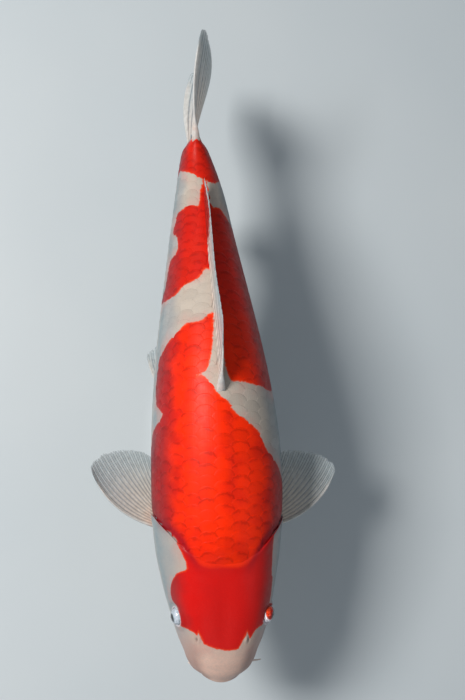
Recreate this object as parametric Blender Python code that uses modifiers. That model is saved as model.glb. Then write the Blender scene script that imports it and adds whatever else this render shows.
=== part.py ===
"""A life-size koi carp swimming level, its fins spread, held over a display stand.

Metres, +Z up. The fish looks along -Y and its left side is +X. The origin is the middle of the
stand's underside. Inside this file a place on the fish is given in millimetres: s is the distance
back from the lips, x is sideways from the midline and z is the height over the swimming axis.
"""

import math

import bmesh
import bpy
import numpy as np
from mathutils import Vector

MM = 0.001
LIPS_Y = -250.0  # where the lips are, ahead of the middle of the stand
AXIS_Z = 152.0  # height of the swimming axis over the floor
BODY_END = 537.0  # from the lips to the last scales
GAP = 0.35  # clearance between pieces that touch

# The body's outline, each as (distance from the lips, size).
HALF_WIDTH = (
    (0, 19.5), (4, 25.5), (14, 32.5), (27, 37), (42, 42.5), (69, 50), (97, 56.2), (125, 60.6),
    (160, 64.3), (205, 65.3), (252, 63.2), (295, 58.7), (338, 52.3), (385, 43.8), (442, 33.2),
    (492, 23.8), (520, 16.9), (532, 13), (537, 10.5),
)
BACK = (
    (0, -8), (4, -1), (14, 9), (27, 17.5), (42, 25.5), (69, 38), (97, 48.5), (108, 52.3),
    (117, 56.5), (130, 63), (150, 69), (175, 73.5), (200, 77), (250, 80.5), (295, 78.5),
    (340, 71.5), (385, 61.5), (442, 46), (492, 34), (518, 29.5), (537, 30.5),
)
BELLY = (
    (0, -27), (4, -31), (14, -37), (27, -42.5), (42, -47.5), (69, -55), (97, -61), (150, -70),
    (200, -75.5), (250, -77), (295, -75), (340, -69), (385, -59.5), (425, -49), (460, -40),
    (492, -32.5), (518, -28.5), (537, -29),
)
WIDEST_LEVEL = ((0, -18), (42, -16), (97, -14), (160, -10), (250, -5), (385, 0), (540, 0))
SQUARE_ABOVE = ((0, 2.1), (42, 2.5), (110, 2.4), (165, 2.35), (250, 2.3), (385, 2.15), (540, 2))
ROOF = ((0, 0), (108, 0), (135, 6), (200, 8), (283, 8), (420, 4), (510, 0), (540, 0))
SQUARE_BELOW = ((0, 2.2), (69, 2.1), (165, 2.3), (250, 2.35), (420, 2.1), (540, 2.0))
RIDGE_ROUND = 0.05  # half the width of the ridge's rounded top, as a share of the half width
SNOUT_WRAP = ((0, 6.2), (14, 5), (42, 2), (80, 0), (540, 0))  # how far the sides lag the middle
SPINE_X = (
    (0, 7.5), (60, 6.2), (97, 4.6), (120, 3.6), (200, 2.2), (250, 0.3), (295, -2.5), (340, -5.5),
    (385, -8.5), (442, -12.2), (492, -15), (537, -20),
)

BODY_RINGS = 36
MOUTH_RINGS = 5
RING_POINTS = 34

# The mouth: a slit between two rolled lips, let into the front of the snout.
MOUTH_HALF_WIDTH = 13.0
MOUTH_HALF_GAP = 0.5
LIP_ROLL = 2.6
MOUTH_DEPTH = 4.0
MOUTH_LEVEL = -18.0
LIP_SQUARE = 2.2

EYE_RADIUS = 9.8
EYE_PLACES = {"left": (67.0, 42.2, 11.6), "right": (65.2, 41.0, 9.2)}

TAIL_STEM_START = 420.0  # where the trunk ends and the tail stem begins

# The cut under the head that frees the lower jaw, in side view as (s, z), from the front back.
JAW_CUT = ((-30.0, -17.5), (-2.0, -17.5), (20.0, -24.0), (46.0, -33.0))

CLEAR = 110.0  # a reach beyond the fish on every side, for the blocks that cut it


def profile(knots, at):
    """A smooth curve through the knots, read at one distance or at an array of them."""
    place = np.array([k[0] for k in knots], float)
    value = np.array([k[1] for k in knots], float)
    slope = np.gradient(value, place)
    at = np.clip(np.asarray(at, float), place[0], place[-1])
    i = np.clip(np.searchsorted(place, at, side="right") - 1, 0, len(place) - 2)
    step = place[i + 1] - place[i]
    t = (at - place[i]) / step
    rise = (2 * t**3 - 3 * t**2 + 1) * value[i] + (3 * t**2 - 2 * t**3) * value[i + 1]
    lean = (t**3 - 2 * t**2 + t) * slope[i] + (t**3 - t**2) * slope[i + 1]
    return rise + lean * step


def mix(a, b, share):
    return a + (b - a) * share


def smooth_step(low, high, value):
    t = np.clip((value - low) / (high - low), 0, 1)
    return t * t * (3 - 2 * t)


def on_fish(s, x, z):
    """A place on the fish as a point in metres. x is already counted from the midline."""
    return Vector(((x + float(profile(SPINE_X, s))) * MM, (LIPS_Y + s) * MM, (AXIS_Z + z) * MM))


def section(s):
    """The numbers that set the body's cross-section at one distance behind the lips."""
    names = (HALF_WIDTH, BACK, BELLY, WIDEST_LEVEL, SQUARE_ABOVE, SQUARE_BELOW, ROOF, SNOUT_WRAP)
    return [float(profile(knots, s)) for knots in names]


def around(numbers, turn, inset=0.0):
    """A point of a cross-section as (lag, x, z), at a turn from the back down the left side. The
    top is drawn in towards a low ridge along the back, by the roof."""
    half_width, back, belly, level, above, below, roof, wrap = numbers
    up, out = math.cos(turn), math.sin(turn)
    square = above if up >= 0 else below
    reach = (back - level if up >= 0 else level - belly) - inset
    x = (half_width - inset) * math.copysign(abs(out) ** (2 / square), out)
    z = level + reach * math.copysign(abs(up) ** (2 / square), up)
    across = min(abs(x) / half_width, 1)
    if up > 0:
        z -= roof * max(across - RIDGE_ROUND, 0) * (1 - across**2)
    return wrap * across**2, x, z


def ring(numbers, s, inset=0.0):
    """One cross-section of the body, as points of (s, x, z) from the back round the left side."""
    points = []
    for k in range(RING_POINTS):
        lag, x, z = around(numbers, 2 * math.pi * k / RING_POINTS, inset)
        points.append((s + lag, x, z))
    return points


def mouth_ring(share, inset=0.0):
    """A ring of the lips. Share 0 is the rim of the snout and 1 is the slit between the lips."""
    snout_half_width, back, belly, *_, wrap = section(0)
    centre = mix((back + belly) / 2, MOUTH_LEVEL, share)
    half_height = mix((back - belly) / 2, MOUTH_HALF_GAP, share**0.8)
    forward = LIP_ROLL * math.sin(math.pi * min(share * 1.2, 1)) - MOUTH_DEPTH * share**3
    numbers = (
        mix(snout_half_width, MOUTH_HALF_WIDTH, share), centre + half_height,
        centre - half_height, centre, LIP_SQUARE, LIP_SQUARE, 0.0, wrap,
    )
    return ring(numbers, inset - forward, 0.0)


def body_distances():
    """Where the rings stand: close together at the snout, where the shape changes fastest."""
    return [BODY_END * (j / BODY_RINGS) ** 1.45 for j in range(1, BODY_RINGS + 1)]


def new_mesh_object(name, mesh, collection):
    obj = bpy.data.objects.new(name, mesh)
    collection.objects.link(obj)
    return obj


def loft(name, rings, collection):
    """A closed skin over a row of rings, with a cap on each end."""
    bm = bmesh.new()
    rows = [[bm.verts.new(on_fish(*point)) for point in points] for points in rings]
    for near, far in zip(rows, rows[1:]):
        for k in range(len(near)):
            n = (k + 1) % len(near)
            bm.faces.new((near[k], near[n], far[n], far[k]))
    bm.faces.new(rows[0][::-1])
    bm.faces.new(rows[-1])
    bmesh.ops.recalc_face_normals(bm, faces=bm.faces)
    mesh = bpy.data.meshes.new(name)
    bm.to_mesh(mesh)
    bm.free()
    return new_mesh_object(name, mesh, collection)


def body_loft(name, collection, inset=0.0):
    """The whole fish without its fins. A negative inset makes it larger all over."""
    rings = [mouth_ring(1 - j / MOUTH_RINGS, inset) for j in range(MOUTH_RINGS)]
    rings += [ring(section(s), s, inset) for s in [0.0, *body_distances()]]
    if inset < 0:
        rings[-1] = [(s - inset, x, z) for s, x, z in rings[-1]]
    return loft(name, rings, collection)


def prism(name, outline, collection):
    """A block that crosses the whole fish, with an outline drawn in side view as (s, z)."""
    bm = bmesh.new()
    across = CLEAR * MM
    near = [bm.verts.new((-across, (LIPS_Y + s) * MM, (AXIS_Z + z) * MM)) for s, z in outline]
    made = bmesh.ops.extrude_face_region(bm, geom=[bm.faces.new(near)])
    moved = [v for v in made["geom"] if isinstance(v, bmesh.types.BMVert)]
    bmesh.ops.translate(bm, verts=moved, vec=(2 * across, 0, 0))
    bmesh.ops.recalc_face_normals(bm, faces=bm.faces)
    mesh = bpy.data.meshes.new(name)
    bm.to_mesh(mesh)
    bm.free()
    return new_mesh_object(name, mesh, collection)


def tail_side(name, start, end, collection):
    """A plain block round the fish from one distance behind the lips to another."""
    return prism(name, [(start, -CLEAR), (end, -CLEAR), (end, CLEAR), (start, CLEAR)], collection)


def jaw_side(name, shift, collection):
    """Everything under the jaw's cut, the cut moved up and back by shift."""
    back, _ = JAW_CUT[-1]
    cut = [(s if s < 0 else s + shift, z + shift) for s, z in JAW_CUT]
    return prism(name, [*cut, (back - 2 + shift, -CLEAR), (JAW_CUT[0][0], -CLEAR)], collection)


def as_cutter(obj):
    obj.hide_render = True
    obj.display_type = "WIRE"
    return obj


def boolean(obj, operation, cutter):
    step = obj.modifiers.new(f"{operation.title()} {cutter.name}", "BOOLEAN")
    step.operation = operation
    step.solver = "EXACT"
    step.object = cutter
    return obj


def paint(obj, material):
    obj.data.materials.clear()
    obj.data.materials.append(material)
    obj.data.shade_smooth()
    return obj


def finish(name, colour, roughness, metallic=0.0):
    material = bpy.data.materials.new(name)
    material.use_nodes = True
    shader = material.node_tree.nodes["Principled BSDF"]
    shader.inputs["Base Color"].default_value = (*colour, 1)
    shader.inputs["Roughness"].default_value = roughness
    shader.inputs["Metallic"].default_value = metallic
    return material


# --- the gill edge, the gill covers and the jaw ---------------------------------------------

# The rear edge of the head, as (degrees down from the back, distance from the lips): across the
# nape, round behind the gill cover and down to the throat.
GILL_EDGE = (
    (0, 112), (15, 115.5), (26, 122.5), (38, 133.5), (50, 144.5), (60, 152), (69, 157.5),
    (77, 161.5), (90, 164), (97, 162.5), (106, 158), (117, 149), (131, 136), (145, 120),
    (160, 107), (180, 98),
)
COVER_FRONT = 103.0  # where the gill cover hinges on the cheek
COVER_FROM, COVER_TO = 51.0, 139.0  # its span round the body, in degrees down from the back
COVER_PROUD = 1.2  # how far the sheet that cuts it out stands off the skin
COVER_THICK = 3.6
COVER_GAP = 1.4  # degrees of clearance round it
COVER_ROWS, COVER_COLUMNS = 10, 5


def body_point(s, degrees):
    """A point of the body's surface as (s, x, z), at an angle down from the back on the left."""
    _, x, z = around(section(s), math.radians(degrees))
    return s, x, z


def gill_edge(degrees):
    return float(profile(GILL_EDGE, degrees))


def head_block(name, shift, collection):
    """Everything ahead of the gill edge, the edge moved back by shift. The end wall runs
    straight in from the skin and closes on a point at the swimming axis."""
    turns = [360 * k / 60 for k in range(60)]
    down = [min(turn, 360 - turn) for turn in turns]
    side = [1 if turn <= 180 else -1 for turn in turns]
    edge = [body_point(gill_edge(d) + shift, d) for d in down]
    bm = bmesh.new()
    front = [bm.verts.new(on_fish(-60, 2 * k * x, 2 * z)) for k, (s, x, z) in zip(side, edge)]
    outer = [bm.verts.new(on_fish(s, 1.5 * k * x, 1.5 * z)) for k, (s, x, z) in zip(side, edge)]
    inner = [bm.verts.new(on_fish(s, 0.6 * k * x, 0.6 * z)) for k, (s, x, z) in zip(side, edge)]
    middle = bm.verts.new(on_fish(135 + shift, 0, 0))
    for k in range(60):
        n = (k + 1) % 60
        for near, far in ((front, outer), (outer, inner)):
            bm.faces.new((near[k], near[n], far[n]))
            bm.faces.new((near[k], far[n], far[k]))
        bm.faces.new((inner[k], inner[n], middle))
    bm.faces.new(front)
    bmesh.ops.recalc_face_normals(bm, faces=bm.faces)
    mesh = bpy.data.meshes.new(name)
    bm.to_mesh(mesh)
    bm.free()
    return new_mesh_object(name, mesh, collection)


def surface_grid(name, side, points, collection):
    """An open sheet through rows of points given for the left side; side is -1 for the right."""
    bm = bmesh.new()
    rows = [[bm.verts.new(on_fish(s, side * x, z)) for s, x, z in row] for row in points]
    for near, far in zip(rows, rows[1:]):
        for k in range(len(near) - 1):
            bm.faces.new((near[k], near[k + 1], far[k + 1], far[k]))
    bmesh.ops.recalc_face_normals(bm, faces=bm.faces)
    mesh = bpy.data.meshes.new(name)
    bm.to_mesh(mesh)
    bm.free()
    return new_mesh_object(name, mesh, collection)


def cover_sheet(name, side, margin, collection):
    """The outline of a gill cover, laid a little outside the body's surface."""
    rows = []
    for i in range(COVER_ROWS + 1):
        share = i / COVER_ROWS
        degrees = mix(COVER_FROM - margin, COVER_TO + margin, share)
        bow = 14 * (2 * share - 1) ** 2
        back = gill_edge(degrees) + 8 + 2 * margin
        front = COVER_FRONT - margin / 2 + bow
        row = []
        for j in range(COVER_COLUMNS + 1):
            s, x, z = body_point(mix(front, back, j / COVER_COLUMNS), degrees)
            level = float(profile(WIDEST_LEVEL, s))
            grow = 1 + COVER_PROUD / math.hypot(x, z - level)
            row.append((s, x * grow, level + (z - level) * grow))
        rows.append(row)
    return surface_grid(name, side, rows, collection)


def thicken(obj, millimetres, offset=0.0):
    step = obj.modifiers.new("Thickness", "SOLIDIFY")
    step.thickness = millimetres * MM
    step.offset = offset
    step.use_even_offset = True
    step.use_quality_normals = True
    return obj


def facing_out(obj, side):
    """Turns a sheet's faces away from the midline, so that Solidify grows it inwards."""
    bm = bmesh.new()
    bm.from_mesh(obj.data)
    bm.faces.ensure_lookup_table()
    middle = bm.faces[len(bm.faces) // 2]
    if middle.normal.x * side < 0:
        bmesh.ops.reverse_faces(bm, faces=bm.faces)
    bm.to_mesh(obj.data)
    bm.free()
    return obj


# --- fins -----------------------------------------------------------------------------------

FIN_THICK = 2.4  # at the root; the edge has this times FIN_EDGE_SHARE
FIN_EDGE_SHARE = 0.42
ROOT_SINK = 5.0  # how far a fin's sheet starts inside the body before it is trimmed to it


def fin(name, side, root, ray, rays, steps, collection):
    """A fin as a sheet of rays. root(a) is where a ray starts and ray(a, b) is how far it has
    gone at a share b of its length, both as (s, x, z) for the left side."""
    rows = []
    for i in range(rays + 1):
        a = i / rays
        start = root(a)
        rows.append([tuple(p + q for p, q in zip(start, ray(a, j / steps))) for j in range(steps + 1)])
    obj = surface_grid(name, side, rows, collection)
    group = obj.vertex_groups.new(name="root")
    for i in range(rays + 1):
        for j in range(steps + 1):
            group.add([i * (steps + 1) + j], 1 - j / steps, "REPLACE")
    thicken(obj, FIN_THICK)
    obj.modifiers["Thickness"].vertex_group = "root"
    obj.modifiers["Thickness"].thickness_vertex_group = FIN_EDGE_SHARE
    return obj


DORSAL_FRONT, DORSAL_BACK = 275.0, 468.0
DORSAL_HEIGHT = ((0, 56), (0.05, 60), (0.16, 52), (0.35, 43), (0.6, 39), (0.9, 31), (1, 24))
DORSAL_SLANT = ((0, 42), (0.2, 48), (1, 62))  # degrees back from upright
DORSAL_LEAN = ((0, 0.06), (0.3, 0.14), (0.6, 0.26), (1, 0.24))  # sideways for each unit up


def dorsal_root(a):
    s = mix(DORSAL_FRONT, DORSAL_BACK, a)
    return s, 0.0, float(profile(BACK, s)) - ROOT_SINK


def dorsal_ray(a, b):
    length = float(profile(DORSAL_HEIGHT, a)) + ROOT_SINK
    slant = math.radians(float(profile(DORSAL_SLANT, a)) + 14 * b)
    up = length * b * math.cos(slant)
    lean = float(profile(DORSAL_LEAN, a)) + 0.05 * math.sin(9 * a)
    return length * b * math.sin(slant), up * lean, up


ANAL_FRONT, ANAL_BACK = 422.0, 460.0
ANAL_LENGTH = ((0, 50), (0.12, 58), (0.5, 44), (1, 27))


def anal_root(a):
    s = mix(ANAL_FRONT, ANAL_BACK, a)
    return s, 0.0, float(profile(BELLY, s)) + ROOT_SINK


def anal_ray(a, b):
    length = float(profile(ANAL_LENGTH, a)) + ROOT_SINK
    slant = math.radians(46 + 14 * a + 12 * b)
    return length * b * math.sin(slant), -3 * b * b, -length * b * math.cos(slant)


TAIL_ROOT = BODY_END - 3.0
TAIL_REACH = 113.0  # length of the upper lobe
TAIL_LENGTH = ((0, 62), (0.5, 87), (0.75, 103), (0.9, 112.5), (1, TAIL_REACH))  # middle to edge
LOWER_LOBE = 0.94  # length of the lower lobe as a share of the upper one
TAIL_SPREAD = 27.0  # degrees that the outer rays splay at the root
TAIL_BELLY = 19.0  # how far the middle of the fin bellies out to the left
UPPER_BOW, LOWER_BOW = 5.0, 8.0  # how far the outer rays bow to the right
UPPER_SWING, LOWER_SWING = 5.0, 7.0  # how far the tips swing back to the left


def tail_root(a):
    return TAIL_ROOT, 0.0, mix(-26.0, 27.0, a)


def tail_ray(a, b):
    across = 2 * a - 1
    length = float(profile(TAIL_LENGTH, abs(across))) * (1 if across >= 0 else LOWER_LOBE)
    splay = math.radians(TAIL_SPREAD * across * (1 - 0.35 * b))
    back = length * b * math.cos(splay)
    share = back / TAIL_REACH
    middle = TAIL_BELLY * smooth_step(0, 0.85, share)
    bow, swing = (UPPER_BOW, UPPER_SWING) if across >= 0 else (LOWER_BOW, LOWER_SWING)
    edge = swing * share**3 - bow * math.sin(0.95 * math.pi * share)
    return back, mix(middle, edge, abs(across) ** 3), length * b * math.sin(splay)


PECTORAL_FRONT, PECTORAL_BACK = (149.0, -36.0), (172.0, -52.0)
PECTORAL_LENGTH = (
    (0, 86), (0.07, 89), (0.18, 89), (0.35, 85.5), (0.5, 78.5), (0.75, 65), (1, 46),
)
PECTORAL_SWEEP = ((0, 12.5), (0.25, 28), (0.5, 45), (0.75, 59), (1, 72))  # degrees back at the root
PECTORAL_CURL = ((0, 27), (0.25, 17), (0.5, 9), (1, 4))  # more degrees back by the tip
PECTORAL_RISE = 0.22  # how far the front ray climbs for each unit out


def side_x(s, z):
    """How far out the body's surface is at this height."""
    level = float(profile(WIDEST_LEVEL, s))
    above = z >= level
    reach = float(profile(BACK, s)) - level if above else level - float(profile(BELLY, s))
    square = float(profile(SQUARE_ABOVE if above else SQUARE_BELOW, s))
    share = min(abs(z - level) / reach, 1)
    return float(profile(HALF_WIDTH, s)) * (1 - share**square) ** (1 / square)


def pectoral_root(a):
    s = mix(PECTORAL_FRONT[0], PECTORAL_BACK[0], a)
    z = mix(PECTORAL_FRONT[1], PECTORAL_BACK[1], a)
    return s, side_x(s, z) - ROOT_SINK, z


def pectoral_ray(a, b):
    length = float(profile(PECTORAL_LENGTH, a)) + ROOT_SINK
    sweep = float(profile(PECTORAL_SWEEP, a)) + float(profile(PECTORAL_CURL, a)) * b**1.3
    out = length * b * math.cos(math.radians(sweep))
    back = length * b * math.sin(math.radians(sweep))
    rise = length * b * (PECTORAL_RISE * (1 - 0.85 * a) - 0.06 * b)
    return back, out, rise - 3 * math.sin(math.pi * a) * b


PELVIC_FRONT, PELVIC_BACK = (274.0, -66.0), (288.0, -71.5)
PELVIC_LENGTH = ((0, 59), (0.2, 62), (0.6, 55), (1, 36))
PELVIC_SWEEP = ((0, 40), (0.5, 60), (1, 78))


def pelvic_root(a):
    s = mix(PELVIC_FRONT[0], PELVIC_BACK[0], a)
    z = mix(PELVIC_FRONT[1], PELVIC_BACK[1], a)
    return s, side_x(s, z) - ROOT_SINK, z + 1.5


def pelvic_ray(a, b):
    length = float(profile(PELVIC_LENGTH, a)) + ROOT_SINK
    sweep = math.radians(float(profile(PELVIC_SWEEP, a)) + 24 * b)
    reach = length * b
    return reach * math.sin(sweep), reach * math.cos(sweep), -0.2 * reach


# --- barbels, eyes and stand ----------------------------------------------------------------

# Each barbel as its root, its direction and its length: a short one on the lip and a longer one
# at the corner of the mouth.
LIP_ROOT, CORNER_ROOT = (13.0, 26.0, -17.0), (17.0, 27.0, -25.5)
BARBELS = {
    "lip_left": (LIP_ROOT, (0.20, 0.66, -0.72), 9.0),
    "lip_right": (LIP_ROOT, (0.20, 0.66, -0.72), 9.0),
    "corner_left": (CORNER_ROOT, (-0.10, 0.89, -0.45), 18.0),
    "corner_right": (CORNER_ROOT, (0.66, 0.48, -0.58), 17.0),
}
BARBEL_RADIUS = 1.15

BASE_LENGTH, BASE_WIDTH, BASE_THICK = 270.0, 104.0, 12.0
BASE_EDGE = 2.0  # the rounding of its rim
ROD_RADIUS = 4.5
ROD_TOP = 40.0  # how far below the swimming axis a rod is drawn before the belly trims it
ROD_PLACES = {"front": -72.0, "rear": 84.0}


def barbel(name, side, root, direction, length, collection):
    """A soft feeler, thick at its root and drooping to a blunt tip."""
    points = 6
    data = bpy.data.curves.new(name, "CURVE")
    data.dimensions = "3D"
    data.bevel_depth = BARBEL_RADIUS * MM
    data.bevel_resolution = 2
    data.use_fill_caps = True
    spline = data.splines.new("POLY")
    spline.points.add(points - 1)
    for i in range(points):
        t = i / (points - 1)
        along = mix(-3.0, length, t)
        s, x, z = (p + along * d for p, d in zip(root, direction))
        spline.points[i].co = (*on_fish(s + 2 * t * t, side * x, z - 1.5 * t * t), 1)
        spline.points[i].radius = mix(1.0, 0.5, t)
    curve = new_mesh_object(name, data, collection)
    bpy.context.view_layer.update()
    evaluated = curve.evaluated_get(bpy.context.evaluated_depsgraph_get())
    mesh = bpy.data.meshes.new_from_object(evaluated)
    bm = bmesh.new()
    bm.from_mesh(mesh)
    bmesh.ops.remove_doubles(bm, verts=bm.verts, dist=0.00001)
    bm.to_mesh(mesh)
    bm.free()
    bpy.data.objects.remove(curve)
    return new_mesh_object(name, mesh, collection)


def ball(name, side, place, radius, collection):
    bm = bmesh.new()
    bmesh.ops.create_uvsphere(bm, u_segments=14, v_segments=9, radius=radius * MM)
    mesh = bpy.data.meshes.new(name)
    bm.to_mesh(mesh)
    bm.free()
    obj = new_mesh_object(name, mesh, collection)
    s, x, z = place
    obj.location = on_fish(s, side * x, z)
    obj.rotation_euler = (0, math.pi / 2, 0)
    return obj


def stand(collection, material, fish_outside):
    """An oval plate with two upright rods that carry the belly."""
    bpy.ops.mesh.primitive_cylinder_add(vertices=32, radius=0.5, depth=BASE_THICK * MM)
    base = bpy.context.object
    base.name = "stand_base"
    base.scale = (BASE_WIDTH * MM, BASE_LENGTH * MM, 1)
    base.location = (0, 0, BASE_THICK * MM / 2)
    bpy.ops.object.transform_apply(location=False, rotation=False, scale=True)
    edge = base.modifiers.new("Rounded edge", "BEVEL")
    edge.width = BASE_EDGE * MM
    edge.segments = 2
    edge.limit_method = "ANGLE"
    edge.angle_limit = math.radians(60)
    move_to(base, collection)
    paint(base, material)
    for end, y in ROD_PLACES.items():
        top = AXIS_Z - ROD_TOP
        bpy.ops.mesh.primitive_cylinder_add(
            vertices=20, radius=ROD_RADIUS * MM, depth=(top - BASE_THICK - GAP) * MM
        )
        rod = bpy.context.object
        rod.name = f"stand_rod_{end}"
        x = float(profile(SPINE_X, y - LIPS_Y))
        rod.location = (x * MM, y * MM, (top + BASE_THICK + GAP) / 2 * MM)
        move_to(rod, collection)
        boolean(rod, "DIFFERENCE", fish_outside)
        paint(rod, material)


def move_to(obj, collection):
    for other in list(obj.users_collection):
        other.objects.unlink(obj)
    collection.objects.link(obj)


def main():
    for obj in list(bpy.data.objects):
        bpy.data.objects.remove(obj)
    scene = bpy.context.scene.collection
    koi = bpy.data.collections.new("koi_carp")
    cutters = bpy.data.collections.new("cutters")
    scene.children.link(koi)
    scene.children.link(cutters)

    white_skin = finish("white_skin", (0.80, 0.76, 0.70), 0.35)
    red_skin = finish("red_skin", (0.80, 0.05, 0.01), 0.35)
    fin_web = finish("fin_web", (0.72, 0.76, 0.76), 0.4)
    eye_ball = finish("eye_ball", (0.55, 0.52, 0.5), 0.1)
    stand_metal = finish("stand_metal", (0.55, 0.56, 0.57), 0.35, 1.0)

    # The solids that cut: the fish grown by the gap, and the blocks that part it.
    fish_outside = as_cutter(body_loft("fish_outside", cutters, -GAP))
    head_side = as_cutter(head_block("head_side", -0.8 * GAP, cutters))
    body_side = as_cutter(head_block("body_side", 0.8 * GAP, cutters))
    trunk_block = as_cutter(tail_side("trunk_block", -CLEAR, TAIL_STEM_START - GAP / 2, cutters))
    tail_block = as_cutter(
        tail_side("tail_block", TAIL_STEM_START + GAP / 2, BODY_END + CLEAR, cutters)
    )
    jaw_block = as_cutter(jaw_side("jaw_block", 0.0, cutters))
    jaw_space = as_cutter(jaw_side("jaw_space", GAP, cutters))

    # Head, with the jaw, the gill covers and the eyes let into it.
    head = boolean(body_loft("head", koi), "INTERSECT", head_side)
    boolean(head, "DIFFERENCE", jaw_space)
    jaw = boolean(body_loft("lower_jaw", koi), "INTERSECT", jaw_block)
    for side, hand in ((1, "left"), (-1, "right")):
        pocket = as_cutter(cover_sheet(f"cover_pocket_{hand}", side, COVER_GAP, cutters))
        thicken(facing_out(pocket, side), COVER_PROUD + COVER_THICK + 2 * GAP, -1)
        boolean(head, "DIFFERENCE", pocket)
        cover_shape = as_cutter(cover_sheet(f"cover_shape_{hand}", side, 0.0, cutters))
        thicken(facing_out(cover_shape, side), COVER_PROUD + COVER_THICK, -1)
        cover = boolean(body_loft(f"gill_cover_{hand}", koi), "INTERSECT", cover_shape)
        boolean(cover, "INTERSECT", head_side)
        paint(cover, white_skin)
        socket = as_cutter(ball(f"eye_socket_{hand}", side, EYE_PLACES[hand], EYE_RADIUS + GAP, cutters))
        boolean(head, "DIFFERENCE", socket)
        paint(ball(f"eye_{hand}", side, EYE_PLACES[hand], EYE_RADIUS, koi), eye_ball)
    paint(head, red_skin)
    paint(jaw, white_skin)

    # Trunk and tail stem.
    trunk = boolean(body_loft("trunk", koi), "DIFFERENCE", body_side)
    paint(boolean(trunk, "INTERSECT", trunk_block), red_skin)
    paint(boolean(body_loft("tail_stem", koi), "INTERSECT", tail_block), red_skin)

    # Fins, each trimmed where it meets the body.
    single = (
        ("dorsal_fin", dorsal_root, dorsal_ray, 18, 5),
        ("anal_fin", anal_root, anal_ray, 7, 5),
        ("tail_fin", tail_root, tail_ray, 16, 9),
    )
    for name, root, ray, rays, steps in single:
        paint(boolean(fin(name, 1, root, ray, rays, steps, koi), "DIFFERENCE", fish_outside), fin_web)
    paired = (
        ("pectoral_fin", pectoral_root, pectoral_ray, 11, 7),
        ("pelvic_fin", pelvic_root, pelvic_ray, 7, 5),
    )
    for side, hand in ((1, "left"), (-1, "right")):
        for name, root, ray, rays, steps in paired:
            made = fin(f"{name}_{hand}", side, root, ray, rays, steps, koi)
            paint(boolean(made, "DIFFERENCE", fish_outside), fin_web)
        for place in ("lip", "corner"):
            made = barbel(f"barbel_{place}_{hand}", side, *BARBELS[f"{place}_{hand}"], koi)
            paint(boolean(made, "DIFFERENCE", fish_outside), white_skin)

    stand(koi, stand_metal, fish_outside)


main()
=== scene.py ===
"""A koi carp at life size, swimming level with its fins spread, on a plain display stand.

Metres, +Z up. The fish looks along -Y and its left side is +X. A place on the fish is given in
millimetres: s is the distance back from the lips, g the distance round the body from the middle
of the back, above zero on the fish's left, and x and z are sideways from the midline and up from
the swimming axis.
"""

import math

import bpy
import numpy as np
from mathutils import Matrix, Vector


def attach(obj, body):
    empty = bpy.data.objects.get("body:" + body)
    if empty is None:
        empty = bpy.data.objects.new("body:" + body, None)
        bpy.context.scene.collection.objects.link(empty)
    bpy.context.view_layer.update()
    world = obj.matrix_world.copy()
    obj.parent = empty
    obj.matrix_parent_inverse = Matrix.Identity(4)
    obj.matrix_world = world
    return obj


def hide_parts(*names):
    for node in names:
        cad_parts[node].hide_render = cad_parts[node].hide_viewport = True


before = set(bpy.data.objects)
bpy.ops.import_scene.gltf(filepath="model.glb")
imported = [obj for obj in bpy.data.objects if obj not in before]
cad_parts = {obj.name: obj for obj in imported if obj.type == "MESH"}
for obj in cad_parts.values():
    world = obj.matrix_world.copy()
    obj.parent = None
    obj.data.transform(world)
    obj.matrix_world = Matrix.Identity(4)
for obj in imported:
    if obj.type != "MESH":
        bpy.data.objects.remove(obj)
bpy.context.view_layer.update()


# --- Camera, floor and light -----------------------------------------------------------------
# The fish is seen from above and a little to its right. It stands on a plain pale floor, under
# one broad soft lamp high on its right side, a weak one across from it and an even pale sky.

CAMERA_AIM = Vector((0.01885, 0.0781, 0.15))
CAMERA_BACK_OFF = Vector((-0.1466, -0.1554, 1.3218))
CAMERA_ROLL = -0.0045
CAMERA_LENS = 68.0
FLOOR_HALF = 14.0
FLOOR_Z = -0.0003  # just under the stand
KEY_PLACE = Vector((-1.36, 0.36, 1.86))
FILL_PLACE = Vector((1.5, -0.9, 1.5))
NOSE_PLACE = Vector((-0.2, -1.9, 0.9))
LAMP_AIM = Vector((0.0, 0.05, 0.15))
SKY_COLOUR = (0.86, 0.93, 1.0, 1)
SKY_STRENGTH = 0.22


def aimed(place, aim, roll=0.0):
    """A placing that looks from one point at another with the fish's tail at the top."""
    forward = (aim - place).normalized()
    right = forward.cross(Vector((0, 1, 0))).normalized()
    up = right.cross(forward)
    turned_right = right * math.cos(roll) + up * math.sin(roll)
    turned_up = up * math.cos(roll) - right * math.sin(roll)
    placing = Matrix((turned_right, turned_up, -forward)).transposed().to_4x4()
    placing.translation = place
    return placing


def lamp(name, place, size, watts, colour):
    """A square soft lamp that faces the fish."""
    data = bpy.data.lights.new(name, "AREA")
    data.size = size
    data.energy = watts
    data.color = colour
    obj = bpy.data.objects.new(name, data)
    bpy.context.scene.collection.objects.link(obj)
    obj.matrix_world = aimed(place, LAMP_AIM)


camera_data = bpy.data.cameras.new("camera")
camera_data.sensor_fit = "VERTICAL"
camera_data.sensor_height = 36.0
camera_data.lens = CAMERA_LENS
camera = bpy.data.objects.new("camera", camera_data)
bpy.context.scene.collection.objects.link(camera)
camera.matrix_world = aimed(CAMERA_AIM + CAMERA_BACK_OFF, CAMERA_AIM, CAMERA_ROLL)
bpy.context.scene.camera = camera
bpy.context.scene.view_settings.view_transform = "Standard"

lamp("key_lamp", KEY_PLACE, size=0.70, watts=52.0, colour=(1.0, 0.96, 0.91))
lamp("fill_lamp", FILL_PLACE, size=1.2, watts=3.0, colour=(0.90, 0.95, 1.0))
lamp("nose_lamp", NOSE_PLACE, size=1.0, watts=2.5, colour=(1.0, 1.0, 1.0))

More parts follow.
